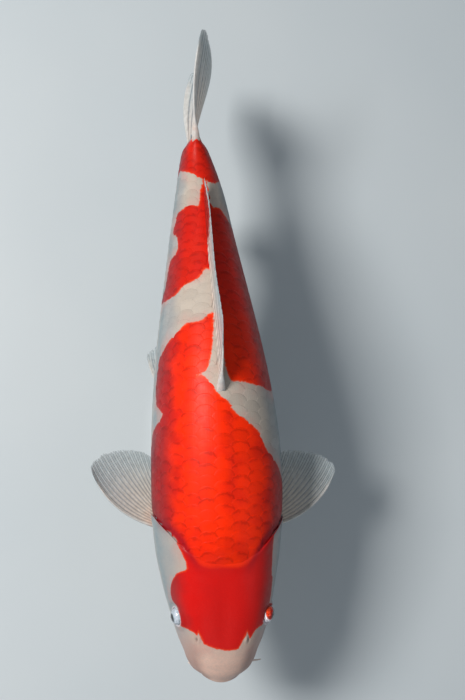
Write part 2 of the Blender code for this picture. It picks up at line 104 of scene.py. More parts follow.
sky = bpy.data.worlds.new("pale_sky")
sky.use_nodes = True
sky.node_tree.nodes["Background"].inputs["Color"].default_value = SKY_COLOUR
sky.node_tree.nodes["Background"].inputs["Strength"].default_value = SKY_STRENGTH
bpy.context.scene.world = sky


def node(tree, kind, sockets=None, **settings):
    """A shader node. Each socket takes a value, or a link from another node's output."""
    made = tree.nodes.new(kind)
    for setting, value in settings.items():
        setattr(made, setting, value)
    for key, value in (sockets or {}).items():
        if isinstance(value, bpy.types.NodeSocket):
            tree.links.new(value, made.inputs[key])
        else:
            made.inputs[key].default_value = value
    return made


def noise(tree, scale, detail=2.0, where=None, roughness=0.5):
    """A soft random value over the surface, from 0 to 1, with scale cells in each metre."""
    where = where or node(tree, "ShaderNodeTexCoord").outputs["Object"]
    sockets = {"Vector": where, "Scale": scale, "Detail": detail, "Roughness": roughness}
    return node(tree, "ShaderNodeTexNoise", sockets).outputs["Fac"]


def ramp(tree, value, low, high, start=0.0, end=1.0):
    """A smooth climb from start to end as the value goes from low to high."""
    sockets = {"Value": value, "From Min": low, "From Max": high, "To Min": start, "To Max": end}
    return node(tree, "ShaderNodeMapRange", sockets, interpolation_type="SMOOTHSTEP").outputs[0]


def math_node(tree, operation, first, second=0.0, third=0.0):
    """The result of a Math node."""
    sockets = {0: first, 1: second, 2: third}
    return node(tree, "ShaderNodeMath", sockets, operation=operation).outputs[0]


def blend(tree, share, first, second):
    """Two colours mixed by a share."""
    made = node(tree, "ShaderNodeMix", {0: share, 6: first, 7: second}, data_type="RGBA")
    return made.outputs[2]


def new_material(name, **constants):
    """A material with a Principled BSDF, whose plain values are set on its own sockets."""
    material = bpy.data.materials.new(name)
    material.use_nodes = True
    tree = material.node_tree
    shader = tree.nodes["Principled BSDF"]
    for socket, value in constants.items():
        shader.inputs[socket.replace("_", " ")].default_value = value
    return material, tree, shader


def feed(tree, shader, **sockets):
    """Links what changes over a surface to the sockets of its shader."""
    for socket, value in sockets.items():
        tree.links.new(value, shader.inputs[socket.replace("_", " ")])


floor_paint, tree, shader = new_material("floor_paint", Roughness=0.6)
speckle = ramp(tree, noise(tree, 3.0, 3.0), 0.3, 0.7)
feed(tree, shader, Base_Color=blend(tree, speckle, (0.52, 0.58, 0.62, 1), (0.55, 0.605, 0.64, 1)))
floor_mesh = bpy.data.meshes.new("floor")
signs = ((-1, -1), (1, -1), (1, 1), (-1, 1))
corners = [(x * FLOOR_HALF, y * FLOOR_HALF, FLOOR_Z) for x, y in signs]
floor_mesh.from_pydata(corners, [], [(0, 1, 2, 3)])
floor_mesh.materials.append(floor_paint)
floor = bpy.data.objects.new("floor", floor_mesh)
bpy.context.scene.collection.objects.link(floor)


# --- The skin --------------------------------------------------------------------------------
# One moist skin over the head, the jaw, the gill covers and the trunk, without a seam. On the
# head it is bare and follows the bones, and behind the gill covers it carries the scales.

MM = 0.001
LIPS_Y = -250.0
AXIS_Z = 152.0
HALF_WIDTH = (
    (0, 19.5), (4, 25.5), (14, 32.5), (27, 37), (42, 42.5), (69, 50), (97, 56.2), (125, 60.6),
    (160, 64.3), (205, 65.3), (252, 63.2), (295, 58.7), (338, 52.3), (385, 43.8), (442, 33.2),
    (492, 23.8), (520, 16.9), (532, 13), (537, 10.5),
)
BACK = (
    (0, -8), (4, -1), (14, 9), (27, 17.5), (42, 25.5), (69, 38), (97, 48.5), (108, 52.3),
    (117, 56.5), (130, 63), (150, 69), (175, 73.5), (200, 77), (250, 80.5), (295, 78.5),
    (340, 71.5), (385, 61.5), (442, 46), (492, 34), (518, 29.5), (537, 30.5),
)
BELLY = (
    (0, -27), (4, -31), (14, -37), (27, -42.5), (42, -47.5), (69, -55), (97, -61), (150, -70),
    (200, -75.5), (250, -77), (295, -75), (340, -69), (385, -59.5), (425, -49), (460, -40),
    (492, -32.5), (518, -28.5), (537, -29),
)
WIDEST_LEVEL = ((0, -18), (42, -16), (97, -14), (160, -10), (250, -5), (385, 0), (540, 0))
SQUARE_ABOVE = ((0, 2.1), (42, 2.5), (110, 2.4), (165, 2.35), (250, 2.3), (385, 2.15), (540, 2))
SQUARE_BELOW = ((0, 2.2), (69, 2.1), (165, 2.3), (250, 2.35), (420, 2.1), (540, 2.0))
ROOF = ((0, 0), (108, 0), (135, 6), (200, 8), (283, 8), (420, 4), (510, 0), (540, 0))
SNOUT_WRAP = ((0, 6.2), (14, 5), (42, 2), (80, 0), (540, 0))
SPINE_X = (
    (0, 7.5), (60, 6.2), (97, 4.6), (120, 3.6), (200, 2.2), (250, 0.3), (295, -2.5), (340, -5.5),
    (385, -8.5), (442, -12.2), (492, -15), (537, -20),
)
RIDGE_ROUND = 0.05  # half the width of the ridge along the back, as a share of the half width
RIDGE_SOFT = 0.018  # how softly the roof of the back starts beside the ridge
TAIL_TAPER = (531.0, 549.0)  # where the skin thins out onto the roots of the tail fin
TAIL_TAPER_SHARE = 0.62
TAIL_TAPER_DEPTH = 2.5
SKIN_END = 549.0  # how far back the skin reaches at mid height
SKIN_END_CURVE = 7.0  # how much less far it reaches on the back and the belly
SKIN_END_RING = 530.0  # the cross-section whose turns shape that end

MOUTH_HALF_WIDTH = 13.0
MOUTH_HALF_GAP = 0.5
LIP_ROLL = 2.6
MOUTH_DEPTH = 4.0
MOUTH_LEVEL = -18.0
LIP_SQUARE = 2.2

# The rear edge of the head, as (degrees down from the back, distance from the lips).
GILL_EDGE = (
    (0, 112), (15, 115.5), (26, 122.5), (38, 133.5), (50, 144.5), (60, 152), (69, 157.5),
    (77, 161.5), (90, 164), (97, 162.5), (106, 158), (117, 149), (131, 136), (145, 120),
    (160, 107), (180, 98),
)

# The rolled edge of the gill cover, front to back: how far behind the gill edge each ring lies
# where the skin is plain and where it is fully rolled, and how high it stands there.
COVER_ROLL = (
    (-12, -12, 0.25), (-9, -9, 0.5), (-6.5, -6.5, 0.75), (-4.5, -4.5, 0.9), (-3, -3, 0.98),
    (-1.8, -1.6, 1.02), (-0.9, -0.4, 1.02), (-0.2, 0.7, 0.95), (0.3, 1.5, 0.78), (0.7, 1.9, 0.5),
    (1.1, 1.8, 0.15), (1.5, 1.3, -0.25), (1.9, 0.6, -0.65), (2.3, 0.2, -1.0), (2.8, 0.8, -1.25),
    (3.4, 2, -1.3), (4.2, 3.5, -1.15), (5.8, 5.5, -0.85), (8, 8, -0.5), (11, 11, -0.2), (14, 14, 0),
)
HEAD_INSET = 0.15  # how deep the bare skin of the head lies inside the fish's outline
COAT_DEPTH = 0.75  # how deep the skin under the scales lies

COLUMNS = 256  # points round the body
MOUTH_RINGS = 22
HEAD_RINGS = 176
TRUNK_RINGS = 104
ROLL_GAP = 1.5  # between the last ring of the head and the first of the rolled edge
BACK_CROWDING = 0.35  # how much closer the columns stand on the back than at mid height

# The eyes by side, 1 for the left, each as if on the left: the centre as (x, s, z), which way the
# lids face and which way the pupil looks. The head is turned a little, so they differ.
EYE_PLACES = {1: (42.2, 67.0, 11.6), -1: (41.0, 65.2, 9.2)}
LID_AXES = {1: (0.80, -0.26, 0.54), -1: (0.93, -0.17, 0.32)}
EYE_GAZES = {1: (0.96, -0.17, 0.22), -1: (0.96, -0.20, 0.22)}


def profile(knots, at):
    """A smooth curve through the knots, read at an array of places."""
    place = np.array([k[0] for k in knots], float)
    value = np.array([k[1] for k in knots], float)
    slope = np.gradient(value, place)
    at = np.clip(np.asarray(at, float), place[0], place[-1])
    i = np.clip(np.searchsorted(place, at, side="right") - 1, 0, len(place) - 2)
    step = place[i + 1] - place[i]
    t = (at - place[i]) / step
    rise = (2 * t**3 - 3 * t**2 + 1) * value[i] + (3 * t**2 - 2 * t**3) * value[i + 1]
    lean = (t**3 - 2 * t**2 + t) * slope[i] + (t**3 - t**2) * slope[i + 1]
    return rise + lean * step


def mix(a, b, share):
    return a + (b - a) * share


def smooth_step(low, high, value):
    t = np.clip((value - low) / (high - low), 0, 1)
    return t * t * (3 - 2 * t)


def on_fish(x, s, z):
    """Places on the fish, x counted from the midline, as points in metres."""
    s = np.asarray(s, float)
    return np.stack([(x + profile(SPINE_X, s)) * MM, (LIPS_Y + s) * MM, (AXIS_Z + z) * MM], -1)


def section(s):
    """The numbers that set the body's cross-section at each distance behind the lips."""
    taper = smooth_step(*TAIL_TAPER, s)
    half_width = profile(HALF_WIDTH, s) * (1 - TAIL_TAPER_SHARE * taper)
    back = profile(BACK, s) - TAIL_TAPER_DEPTH * taper
    belly = profile(BELLY, s) + TAIL_TAPER_DEPTH * taper
    others = (WIDEST_LEVEL, SQUARE_ABOVE, SQUARE_BELOW, ROOF, SNOUT_WRAP)
    return [half_width, back, belly, *(profile(knots, s) for knots in others)]


def around(numbers, turn):
    """Points of a cross-section as (lag, x, z), at turns from the back round the left side."""
    half_width, back, belly, level, above, below, roof, wrap = numbers
    up, out = np.cos(turn), np.sin(turn)
    square = np.where(up >= 0, above, below)
    reach = np.where(up >= 0, back - level, level - belly)
    x = half_width * np.sign(out) * np.abs(out) ** (2 / square)
    z = level + reach * np.sign(up) * np.abs(up) ** (2 / square)
    across = np.minimum(np.abs(x) / half_width, 1)
    past = across - RIDGE_ROUND
    past = (past + np.sqrt(past**2 + RIDGE_SOFT**2)) / 2
    z = z - np.where(up > 0, roof * past * (1 - across**2), 0)
    return wrap * across**2, x, z


# A table of the turn at even shares of the girth, for rings along the whole fish.
GRID_END = 552.0
GIRTH_STEP = 2.0
GIRTH_SHARES = 241
FINE_TURNS = 721
girth_s = np.arange(0, GRID_END, GIRTH_STEP)
fine_turn = np.linspace(0, math.pi, FINE_TURNS)
_, girth_x, girth_z = around([n[:, None] for n in section(girth_s)], fine_turn[None, :])
girth_run = np.cumsum(np.hypot(np.diff(girth_x, axis=1), np.diff(girth_z, axis=1)), axis=1)
girth_run = np.concatenate([np.zeros((len(girth_s), 1)), girth_run], axis=1)
half_girths = girth_run[:, -1]
even_shares = np.linspace(0, 1, GIRTH_SHARES)
turn_table = np.array([np.interp(even_shares * run[-1], run, fine_turn) for run in girth_run])


def half_girth(s):
    """The distance round one side of the body, from the back to the belly."""
    return np.interp(s, girth_s, half_girths)


def turn_at(s, share):
    """The turn at a share of the half girth: 0 is the back, and 1 and -1 are the belly."""
    share = (share + 1) % 2 - 1
    row = np.clip(s / GIRTH_STEP, 0, len(girth_s) - 1.001)
    column = np.abs(share) * (GIRTH_SHARES - 1)
    i = row.astype(int)
    j = np.minimum(column.astype(int), GIRTH_SHARES - 2)
    a, b = row - i, column - j
    near = mix(turn_table[i, j], turn_table[i, j + 1], b)
    far = mix(turn_table[i + 1, j], turn_table[i + 1, j + 1], b)
    return np.sign(share) * mix(near, far, a)


def body_point(s, share):
    """Points of the fish's outline in metres, at a distance behind the lips and a girth share."""
    lag, x, z = around(section(s), turn_at(s, share))
    return on_fish(x, s + lag, z)


def body_normal(s, share, reach=0.8):
    """Which way the body faces there, smoothed over a small reach in millimetres."""
    step = reach / half_girth(s)
    round_way = body_point(s, share + step) - body_point(s, share - step)
    along = body_point(s + reach, share) - body_point(s - reach, share)
    normal = np.cross(round_way, along)
    return normal / np.linalg.norm(normal, axis=-1, keepdims=True)


def gill_edge_s(share, passes=6):
    """How far behind the lips the gill edge is, at each girth share."""
    s = np.full(np.shape(share), 140.0)
    for _ in range(passes):
        s = profile(GILL_EDGE, np.degrees(np.abs(turn_at(s, share))))
    return s


def skin_end_s(share):
    """How far behind the lips the skin and its scales end, at each girth share."""
    turned = turn_at(np.full(np.shape(share), SKIN_END_RING), np.asarray(share, float))
    return SKIN_END - SKIN_END_CURVE * np.cos(turned) ** 2


def cover_strength(share):
    """How boldly the gill cover's edge stands out: nearly flat at the nape and the throat."""
    turned = np.degrees(np.abs(turn_at(gill_edge_s(share), share)))
    return mix(0.04, 1.0, smooth_step(22, 50, turned)) * (1 - 0.55 * smooth_step(132, 172, turned))


def crowded(density, count):
    """Places from 0 to 1 that stand closer together where the density is high."""
    at = np.linspace(0, 1, 801)
    run = np.concatenate([[0], np.cumsum((density(at)[1:] + density(at)[:-1]) / 2)])
    return np.interp(np.linspace(0, run[-1], count + 1)[1:], run, at)


def mesh_piece(name, points, faces, material):
    """A new smooth object from an array of points and lists of the points of each face."""
    mesh = bpy.data.meshes.new(name)
    mesh.from_pydata(points.tolist(), [], faces.tolist() if isinstance(faces, np.ndarray) else faces)
    mesh.materials.append(material)
    mesh.shade_smooth()
    obj = bpy.data.objects.new(name, mesh)
    bpy.context.scene.collection.objects.link(obj)
    return obj


def give(obj, **values):
    """Stores a number for each point of a mesh, for its material to read."""
    for name, value in values.items():
        attribute = obj.data.attributes.new(name, "FLOAT", "POINT")
        attribute.data.foreach_set("value", np.asarray(value, np.float32).ravel())


def grid_faces(rows, columns, wrap=False):
    """Four-sided faces between the points of a grid, numbered row by row."""
    last = columns if wrap else columns - 1
    i, j = np.meshgrid(np.arange(rows - 1), np.arange(last), indexing="ij")
    n = (j + 1) % columns
    near, far = i * columns, (i + 1) * columns
    return np.stack([near + j, near + n, far + n, far + j], -1).reshape(-1, 4)


def unwrap(obj, u, v):
    """A map of the surface for baking, from two numbers at each point."""
    layer = obj.data.uv_layers.new(name="OFBake")
    corner = np.zeros(len(obj.data.loops), np.int32)
    obj.data.loops.foreach_get("vertex_index", corner)
    layer.data.foreach_set("uv", np.stack([u[corner], v[corner]], -1).astype(np.float32).ravel())


# The grid of the skin: rings of the lips, the head and the trunk, each with COLUMNS points.
column = np.arange(COLUMNS) / COLUMNS
column_share = 2 * (column - BACK_CROWDING * np.sin(2 * math.pi * column) / (2 * math.pi))
column_share = (column_share + 1) % 2 - 1
edge_s = gill_edge_s(column_share)

# The head's rings stand closer at the lips and at the eyes, and the trunk's towards the tail.
head_places = crowded(
    lambda h: 1 + 1.3 * np.exp(-((h - 0.42) / 0.09) ** 2) + 1.2 * np.exp(-((h / 0.09) ** 2)), HEAD_RINGS
)
skin_s = [head_places[:, None] * (edge_s + COVER_ROLL[0][1] - ROLL_GAP)[None, :]]
strength = cover_strength(column_share)[None, :]
plain_roll, folded_roll, roll_rise = (np.array(k, float)[:, None] for k in zip(*COVER_ROLL))
skin_s.append(edge_s[None, :] + mix(plain_roll, folded_roll, smooth_step(0.3, 0.9, strength)))
trunk_places = crowded(lambda h: 1 + 0.8 * h**4, TRUNK_RINGS)
trunk_start = edge_s + COVER_ROLL[-1][0]
trunk_length = skin_end_s(column_share) - trunk_start
skin_s.append(trunk_start[None, :] + trunk_places[:, None] * trunk_length[None, :])
skin_s = np.concatenate([np.zeros((1, COLUMNS)), *skin_s])
skin_share = np.broadcast_to(column_share, skin_s.shape)
skin_turn = turn_at(skin_s, skin_share)
lag, skin_x, skin_z = around(section(skin_s), skin_turn)
lag_s = skin_s + lag

# The lips: rings that roll forward from the rim of the snout and turn in to the mouth.
lip_share = (1 - np.arange(MOUTH_RINGS) / MOUTH_RINGS)[:, None]
snout = section(np.array([0.0]))
lip_centre = mix((snout[1] + snout[2]) / 2, MOUTH_LEVEL, lip_share)
lip_height = mix((snout[1] - snout[2]) / 2, MOUTH_HALF_GAP, lip_share**0.8)
lip_width = mix(snout[0], MOUTH_HALF_WIDTH, lip_share)
lip_forward = LIP_ROLL * np.sin(math.pi * np.minimum(lip_share * 1.2, 1)) - MOUTH_DEPTH * lip_share**3
lip_numbers = [lip_width, lip_centre + lip_height, lip_centre - lip_height, lip_centre]
lip_numbers += [LIP_SQUARE, LIP_SQUARE, 0.0, snout[7]]
lip_lag, lip_x, lip_z = around(lip_numbers, skin_turn[:1])

grid_x = np.concatenate([lip_x, skin_x])
grid_s = np.concatenate([lip_lag - lip_forward, lag_s])
grid_z = np.concatenate([lip_z, skin_z])
plain_s = np.concatenate([0 * lip_x - lip_forward, skin_s])
grid_share = np.broadcast_to(column_share, grid_x.shape)
grid_turn = np.concatenate([np.broadcast_to(skin_turn[:1], lip_x.shape), skin_turn])
grid_girth = grid_share * half_girth(plain_s)
skin_points = on_fish(grid_x, grid_s, grid_z)
rings = len(skin_points)


def grid_normals(points):
    """Which way each point of a closed ring grid faces."""
    round_way = np.roll(points, -1, axis=1) - np.roll(points, 1, axis=1)
    along = np.gradient(points, axis=0)
    normal = np.cross(round_way, along)
    return normal / np.maximum(np.linalg.norm(normal, axis=-1, keepdims=True), 1e-12)


# Which way is out comes from the grid, but from the plain body where the gill cover's edge rolls.
skin_normals = grid_normals(skin_points)
first_roll = MOUTH_RINGS + 1 + HEAD_RINGS
last_roll = first_roll + len(COVER_ROLL)
rolled = slice(first_roll - 1 - MOUTH_RINGS, last_roll + 1 - MOUTH_RINGS)
skin_normals[first_roll - 1:last_roll + 1] = body_normal(skin_s[rolled], skin_share[rolled])


def route(knots):
    """A smooth line over the head through knots of (s, degrees), as points of (s, g)."""
    knots = np.array(knots, float)
    along = np.linspace(0, len(knots) - 1, 12 * len(knots))
    s = profile(np.column_stack([np.arange(len(knots)), knots[:, 0]]), along)
    turned = np.radians(profile(np.column_stack([np.arange(len(knots)), knots[:, 1]]), along))
    g = [
        np.interp(t, turn_at(np.full(GIRTH_SHARES, at), even_shares), even_shares)
        for at, t in zip(s, turned)
    ]
    return np.column_stack([s, np.array(g) * half_girth(s)])


def along_route(line, s, g):
    """How far each point is from a line, and how far along the line that is, from 0 to 1."""
    apart = np.hypot(s[..., None] - line[:, 0], g[..., None] - line[:, 1])
    nearest = apart.argmin(-1)
    return apart.min(-1), nearest / (len(line) - 1)


def crease(knots, depth, width, s, g):
    """A soft groove along a line, or a ridge where the depth is below zero, faded at its ends."""
    apart, place = along_route(route(knots), s, np.abs(g))
    fade = np.minimum(smooth_step(0, 0.18, place), 1 - smooth_step(0.82, 1, place))
    return -depth * fade * np.exp(-((apart / width) ** 2))


def fold(knots, height, width, s, g):
    """A step that drops behind a line, as where one plate of the head overlaps the next."""
    line = route(knots)
    apart, place = along_route(line, s, np.abs(g))
    nearest = np.rint(place * (len(line) - 1)).astype(int)
    ahead = np.gradient(line, axis=0)[nearest]
    side = np.sign(ahead[..., 0] * (np.abs(g) - line[nearest, 1]) - ahead[..., 1] * (s - line[nearest, 0]))
    fade = np.minimum(smooth_step(0, 0.2, place), 1 - smooth_step(0.8, 1, place))
    return fade * height * np.exp(-((apart / width) ** 2)) * np.tanh(side * apart / (0.22 * width))


NOSTRILS = ((41.5, 22.0), (41.5, -25.0))  # (s, g)


def round_eye(x, s, z, g):
    """Where points are round the nearer eye: off the lids' axis, out along it, how far towards its
    upper rear, and the axis itself."""
    on_left = (g > 0)[..., None]
    from_eye = np.stack([np.abs(x), s, z], -1) - np.where(on_left, EYE_PLACES[1], EYE_PLACES[-1])
    axis = np.where(on_left, LID_AXES[1], LID_AXES[-1])
    axis = axis / np.linalg.norm(axis, axis=-1, keepdims=True)
    out = (from_eye * axis).sum(-1)
    ring = np.sqrt(np.maximum((from_eye**2).sum(-1) - out**2, 0))
    upward = np.array([-axis[..., 2], 0 * axis[..., 2], axis[..., 0]]).transpose(1, 2, 0)
    top_rear = 0.75 * (from_eye * upward).sum(-1) + 0.65 * from_eye[..., 1]
    axis = axis * np.stack([np.where(g > 0, 1, -1), 1 + 0 * g, 1 + 0 * g], -1)
    return ring, out, top_rear / np.maximum(ring, 1), axis


# The steps and grooves of each side of the head: the kind, its line through (s, degrees down from
# the back), its height or depth, and its width.
HEAD_LINES = (
    (fold, ((5, 35), (5.5, 62), (6.5, 86), (10, 104), (17, 118)), 0.8, 4.0),  # the lip
    (crease, ((12, 66), (17, 84), (24, 100), (30, 112)), 0.55, 1.8),  # behind the lip
    (fold, ((88, 60), (99, 72), (104, 88), (101, 106), (90, 124), (72, 138)), -0.75, 5.0),  # the cheek
    (crease, ((80, 78), (87, 92), (86, 106), (76, 122), (60, 134)), 0.35, 2.4),  # within the cheek
    (fold, ((148, 122), (136, 120), (122, 114), (108, 104)), -0.4, 3.4),  # low on the gill cover
    (crease, ((20, 124), (38, 138), (60, 148), (84, 152), (104, 146)), 0.8, 2.4),  # under the jaw
    (crease, ((46, 176), (66, 166), (88, 158), (106, 150)), 0.6, 2.0),  # the throat
    (crease, ((60, 96), (52, 86), (50, 74), (54, 62)), 0.3, 2.0),  # before the eye
)


def head_relief(s, g):
    """How far the bones, the nostrils and the lips lift the skin of the head."""
    relief = np.zeros_like(s)

    # The nostrils: a pit with an upright flap of skin on its inner side.
    for s_at, g_at in NOSTRILS:
        aside = (g - g_at) * np.sign(g_at)
        relief += 0.8 * np.exp(-(((s - s_at - 0.5) / 3.4) ** 2) - (aside / 1.6) ** 2)
        relief -= 1.6 * np.exp(-(((s - s_at) / 2.4) ** 2) - ((aside - 2.5) / 1.0) ** 2)
    for kind, line, height, width in HEAD_LINES:
        relief += kind(line, height, width, s, g)

    # The gill cover is full in the middle, and the brow is a little hollow.
    relief += 0.7 * np.exp(-(((s - 128) / 18) ** 2) - (((np.abs(g) - 96) / 26) ** 2))
    relief -= 0.5 * np.exp(-(((s - 60) / 26) ** 2) - ((g / 13) ** 2))
    return relief


edge_distance = plain_s - np.concatenate([np.broadcast_to(edge_s, lip_x.shape), edge_s + 0 * skin_s])
on_head = 1 - smooth_step(-16, -8, edge_distance)
lift = head_relief(plain_s, grid_girth) * on_head
roll_height = 0.25 * smooth_step(-30, -12, edge_distance) * (edge_distance < 0)
roll_height[first_roll:last_roll] = roll_rise
lift += roll_height * strength
lift -= mix(HEAD_INSET, COAT_DEPTH, smooth_step(1.5, 6.0, edge_distance))
lift[:MOUTH_RINGS] = np.minimum(lift[:MOUTH_RINGS], 0.3)
skin_points = skin_points + lift[..., None] * MM * skin_normals

# The lids: the skin round each eye is drawn to a low rounded rim, square to the lids' axis.
eye_ring, eye_out, top_rear, eye_axis = round_eye(grid_x, grid_s, grid_z, grid_girth)
lid_line = mix(-3.5, 3.9, smooth_step(7.9, 8.7, eye_ring))
lid_line += 0.7 * np.exp(-(((eye_ring - 9.7) / 1.2) ** 2))
drawn = (1 - smooth_step(10.4, 16.0, eye_ring)) * smooth_step(-9, -4, eye_out)
skin_points = skin_points + (drawn * (lid_line - eye_out) * MM)[..., None] * eye_axis

skin_faces = grid_faces(rings, COLUMNS, wrap=True)
ring_numbers = np.repeat(np.arange(rings), COLUMNS) / (rings - 1)
around_numbers = np.tile(np.arange(COLUMNS), rings) / COLUMNS


# --- The markings ----------------------------------------------------------------------------
# Three red plates on a white ground: one from the snout over the head and shoulders, one round
# the rear of the dorsal fin, and a stop at the tail. Each outline is smooth, through (s, g).

CAP_PLATE = (
    (32, 0), (33, 14), (40, 24), (51, 33), (56, 43), (66, 50), (78, 57), (96, 60), (140, 63),
    (152, 84), (164, 96), (192, 97), (209, 75), (226, 50), (243, 38), (256, 18), (275, 0),
    (294, -15), (295, -25), (301, -12), (330, -4), (356, -1), (349, -14), (347, -30), (338, -44),
    (318, -77), (292, -91), (274, -88), (264, -70), (257, -74), (248, -98), (236, -115),
    (200, -126), (162, -122), (148, -60), (133, -46), (113, -37), (108, -49), (96, -60),
    (83, -62), (68, -49), (56, -46), (48, -29), (38, -20),
)
DORSAL_PLATE = (
    (498, 4), (468, 8), (466, 18), (456, 33), (447, 52), (430, 70), (400, 92), (350, 108),
    (310, 104), (288, 84), (286, 60), (290, 20), (293, 10), (330, 5), (398, 1), (389, -17),
    (384, -32), (377, -44), (374, -76), (378, -92), (388, -68), (411, -55), (419, -41),
    (427, -35), (441, -37), (443, -46), (461, -34), (469, -17), (467, -5), (484, -2),
)
TAIL_PLATE = (
    (538, 0), (537, 30), (530, 52), (510, 58), (498, 42), (499, 30), (492, 14), (496, 0),
    (504, -13), (508, -28), (502, -44), (503, -60), (520, -62), (535, -50), (538, -25),
)
WELL_INSIDE = 3.0  # a depth at which the skin is fully red
PLATE_GRID = 1.5  # spacing of the grid on which the depth inside the plates is worked out


def smooth_outline(knots, steps=6):
    """Points of a closed smooth curve through the knots."""
    p = np.array(knots, float)
    before, after, beyond = np.roll(p, 1, 0), np.roll(p, -1, 0), np.roll(p, -2, 0)
    t = (np.arange(steps) / steps)[:, None, None]
    square = (2 * before - 5 * p + 4 * after - beyond) * t**2
    curve = (2 * p + (after - before) * t + square + (3 * p - before - 3 * after + beyond) * t**3) / 2
    return curve.transpose(1, 0, 2).reshape(-1, 2)


def depth_inside(outline, s, g):
    """How far points are inside a closed outline, or below zero how far outside it."""
    nearest = np.full(s.shape, 1e9)
    inside = np.zeros(s.shape, bool)
    for (s0, g0), (s1, g1) in zip(outline, np.roll(outline, -1, 0)):
        ds, dg = s1 - s0, g1 - g0
        t = np.clip(((s - s0) * ds + (g - g0) * dg) / max(ds * ds + dg * dg, 1e-9), 0, 1)
        nearest = np.minimum(nearest, (s - s0 - t * ds) ** 2 + (g - g0 - t * dg) ** 2)
        if g0 != g1:
            inside ^= ((g0 > g) != (g1 > g)) & (s < s0 + (g - g0) * ds / dg)
    return np.where(inside, 1, -1) * np.sqrt(nearest)


plate_s = np.arange(-12, 566, PLATE_GRID)
plate_g = np.arange(-234, 235, PLATE_GRID)
plate_depths = np.max(
    [
        depth_inside(smooth_outline(knots), *np.meshgrid(plate_s, plate_g, indexing="ij"))
        for knots in (CAP_PLATE, DORSAL_PLATE, TAIL_PLATE)
    ],
    axis=0,
)


def plate_depth(s, g):
    """How far inside a red plate each place is, in millimetres, read from the grid."""
    row = np.clip((s - plate_s[0]) / PLATE_GRID, 0, len(plate_s) - 1.001)
    line = np.clip((g - plate_g[0]) / PLATE_GRID, 0, len(plate_g) - 1.001)
    i, j = row.astype(int), line.astype(int)
    a, b = row - i, line - j
    near = mix(plate_depths[i, j], plate_depths[i, j + 1], b)
    return mix(near, mix(plate_depths[i + 1, j], plate_depths[i + 1, j + 1], b), a)


# The front edge of the hump of the shoulders, as (distance round from the back, s).
SHOULDER_FRONT = (
    (0, 112.5), (17, 113), (24, 116), (30, 123), (36, 132), (42, 140), (54, 150), (82, 161), (110, 166),
)


def bright_back(s, g):
    """Where the red is brightest: the hump of the back, from its round front edge."""
    return smooth_step(-1.5, 3.5, s - profile(SHOULDER_FRONT, np.abs(g)))


def shoulder_crease_shade(s, g):
    """Painted shade in the crease round the front of the hump, faint in the middle, and a painted shade
    strip by the ridge.
    """
    off = s - profile(SHOULDER_FRONT, np.abs(g)) + 2.0
    front = np.exp(-((off / 6.0) ** 2)) * smooth_step(14, 44, np.abs(g))
    front *= 1 - smooth_step(75, 95, np.abs(g))
    by_ridge = np.exp(-(((g - 7) / 3.5) ** 2)) * smooth_step(160, 195, s)
    by_ridge *= 1 - smooth_step(255, 280, s)
    return front + 0.22 * by_ridge


CREAM = (0.48, 0.42, 0.36, 1)
# Painted shade: the grey white and the blue grey darken the white down the flanks.
SHADE_GREY_WHITE = (0.33, 0.335, 0.335, 1)
SHADE_BLUE_GREY = (0.24, 0.295, 0.32, 1)
BELLY_WHITE = (0.58, 0.55, 0.51, 1)
PEACH = (0.74, 0.49, 0.40, 1)
MAUVE = (0.36, 0.22, 0.19, 1)
BLUSH = (0.58, 0.29, 0.25, 1)
MOTTLE_GREY = (0.40, 0.37, 0.35, 1)
LID_WHITE = (0.60, 0.56, 0.60, 1)
# Painted shade inside the nostrils and the mouth.
HOLLOW_SHADE_BROWN = (0.16, 0.06, 0.06, 1)
HEAD_RED = (0.66, 0.006, 0.004, 1)
REAR_RED = (0.60, 0.014, 0.005, 1)
BACK_RED = (0.96, 0.026, 0.001, 1)
# Painted shade: the flank red and the low red darken the red down the flanks.
FLANK_SHADE_RED = (0.32, 0.011, 0.012, 1)
LOW_SHADE_RED = (0.22, 0.012, 0.020, 1)
CLOUD_RED = (0.46, 0.005, 0.006, 1)
RIM_ORANGE = (0.85, 0.070, 0.010, 1)
# Painted shade for the crease round the hump, on the red and on the white.
CREASE_SHADE_RED = (0.24, 0.007, 0.016, 1)
CREASE_SHADE_WHITE = (0.25, 0.20, 0.21, 1)


# What the group of colours takes, and the name of each on the points of a mesh.
COLOUR_INPUTS = {
    "Red depth": "red_depth", "Roundness": "roundness", "Along": "along",
    "Bright": "bright", "Crease shade": "crease", "Tone": "tone",
}


def scaled(tree, colour, factor):
    """A colour made lighter or darker by a factor."""
    sockets = {0: colour, "Scale": factor}
    return node(tree, "ShaderNodeVectorMath", sockets, operation="SCALE").outputs[0]


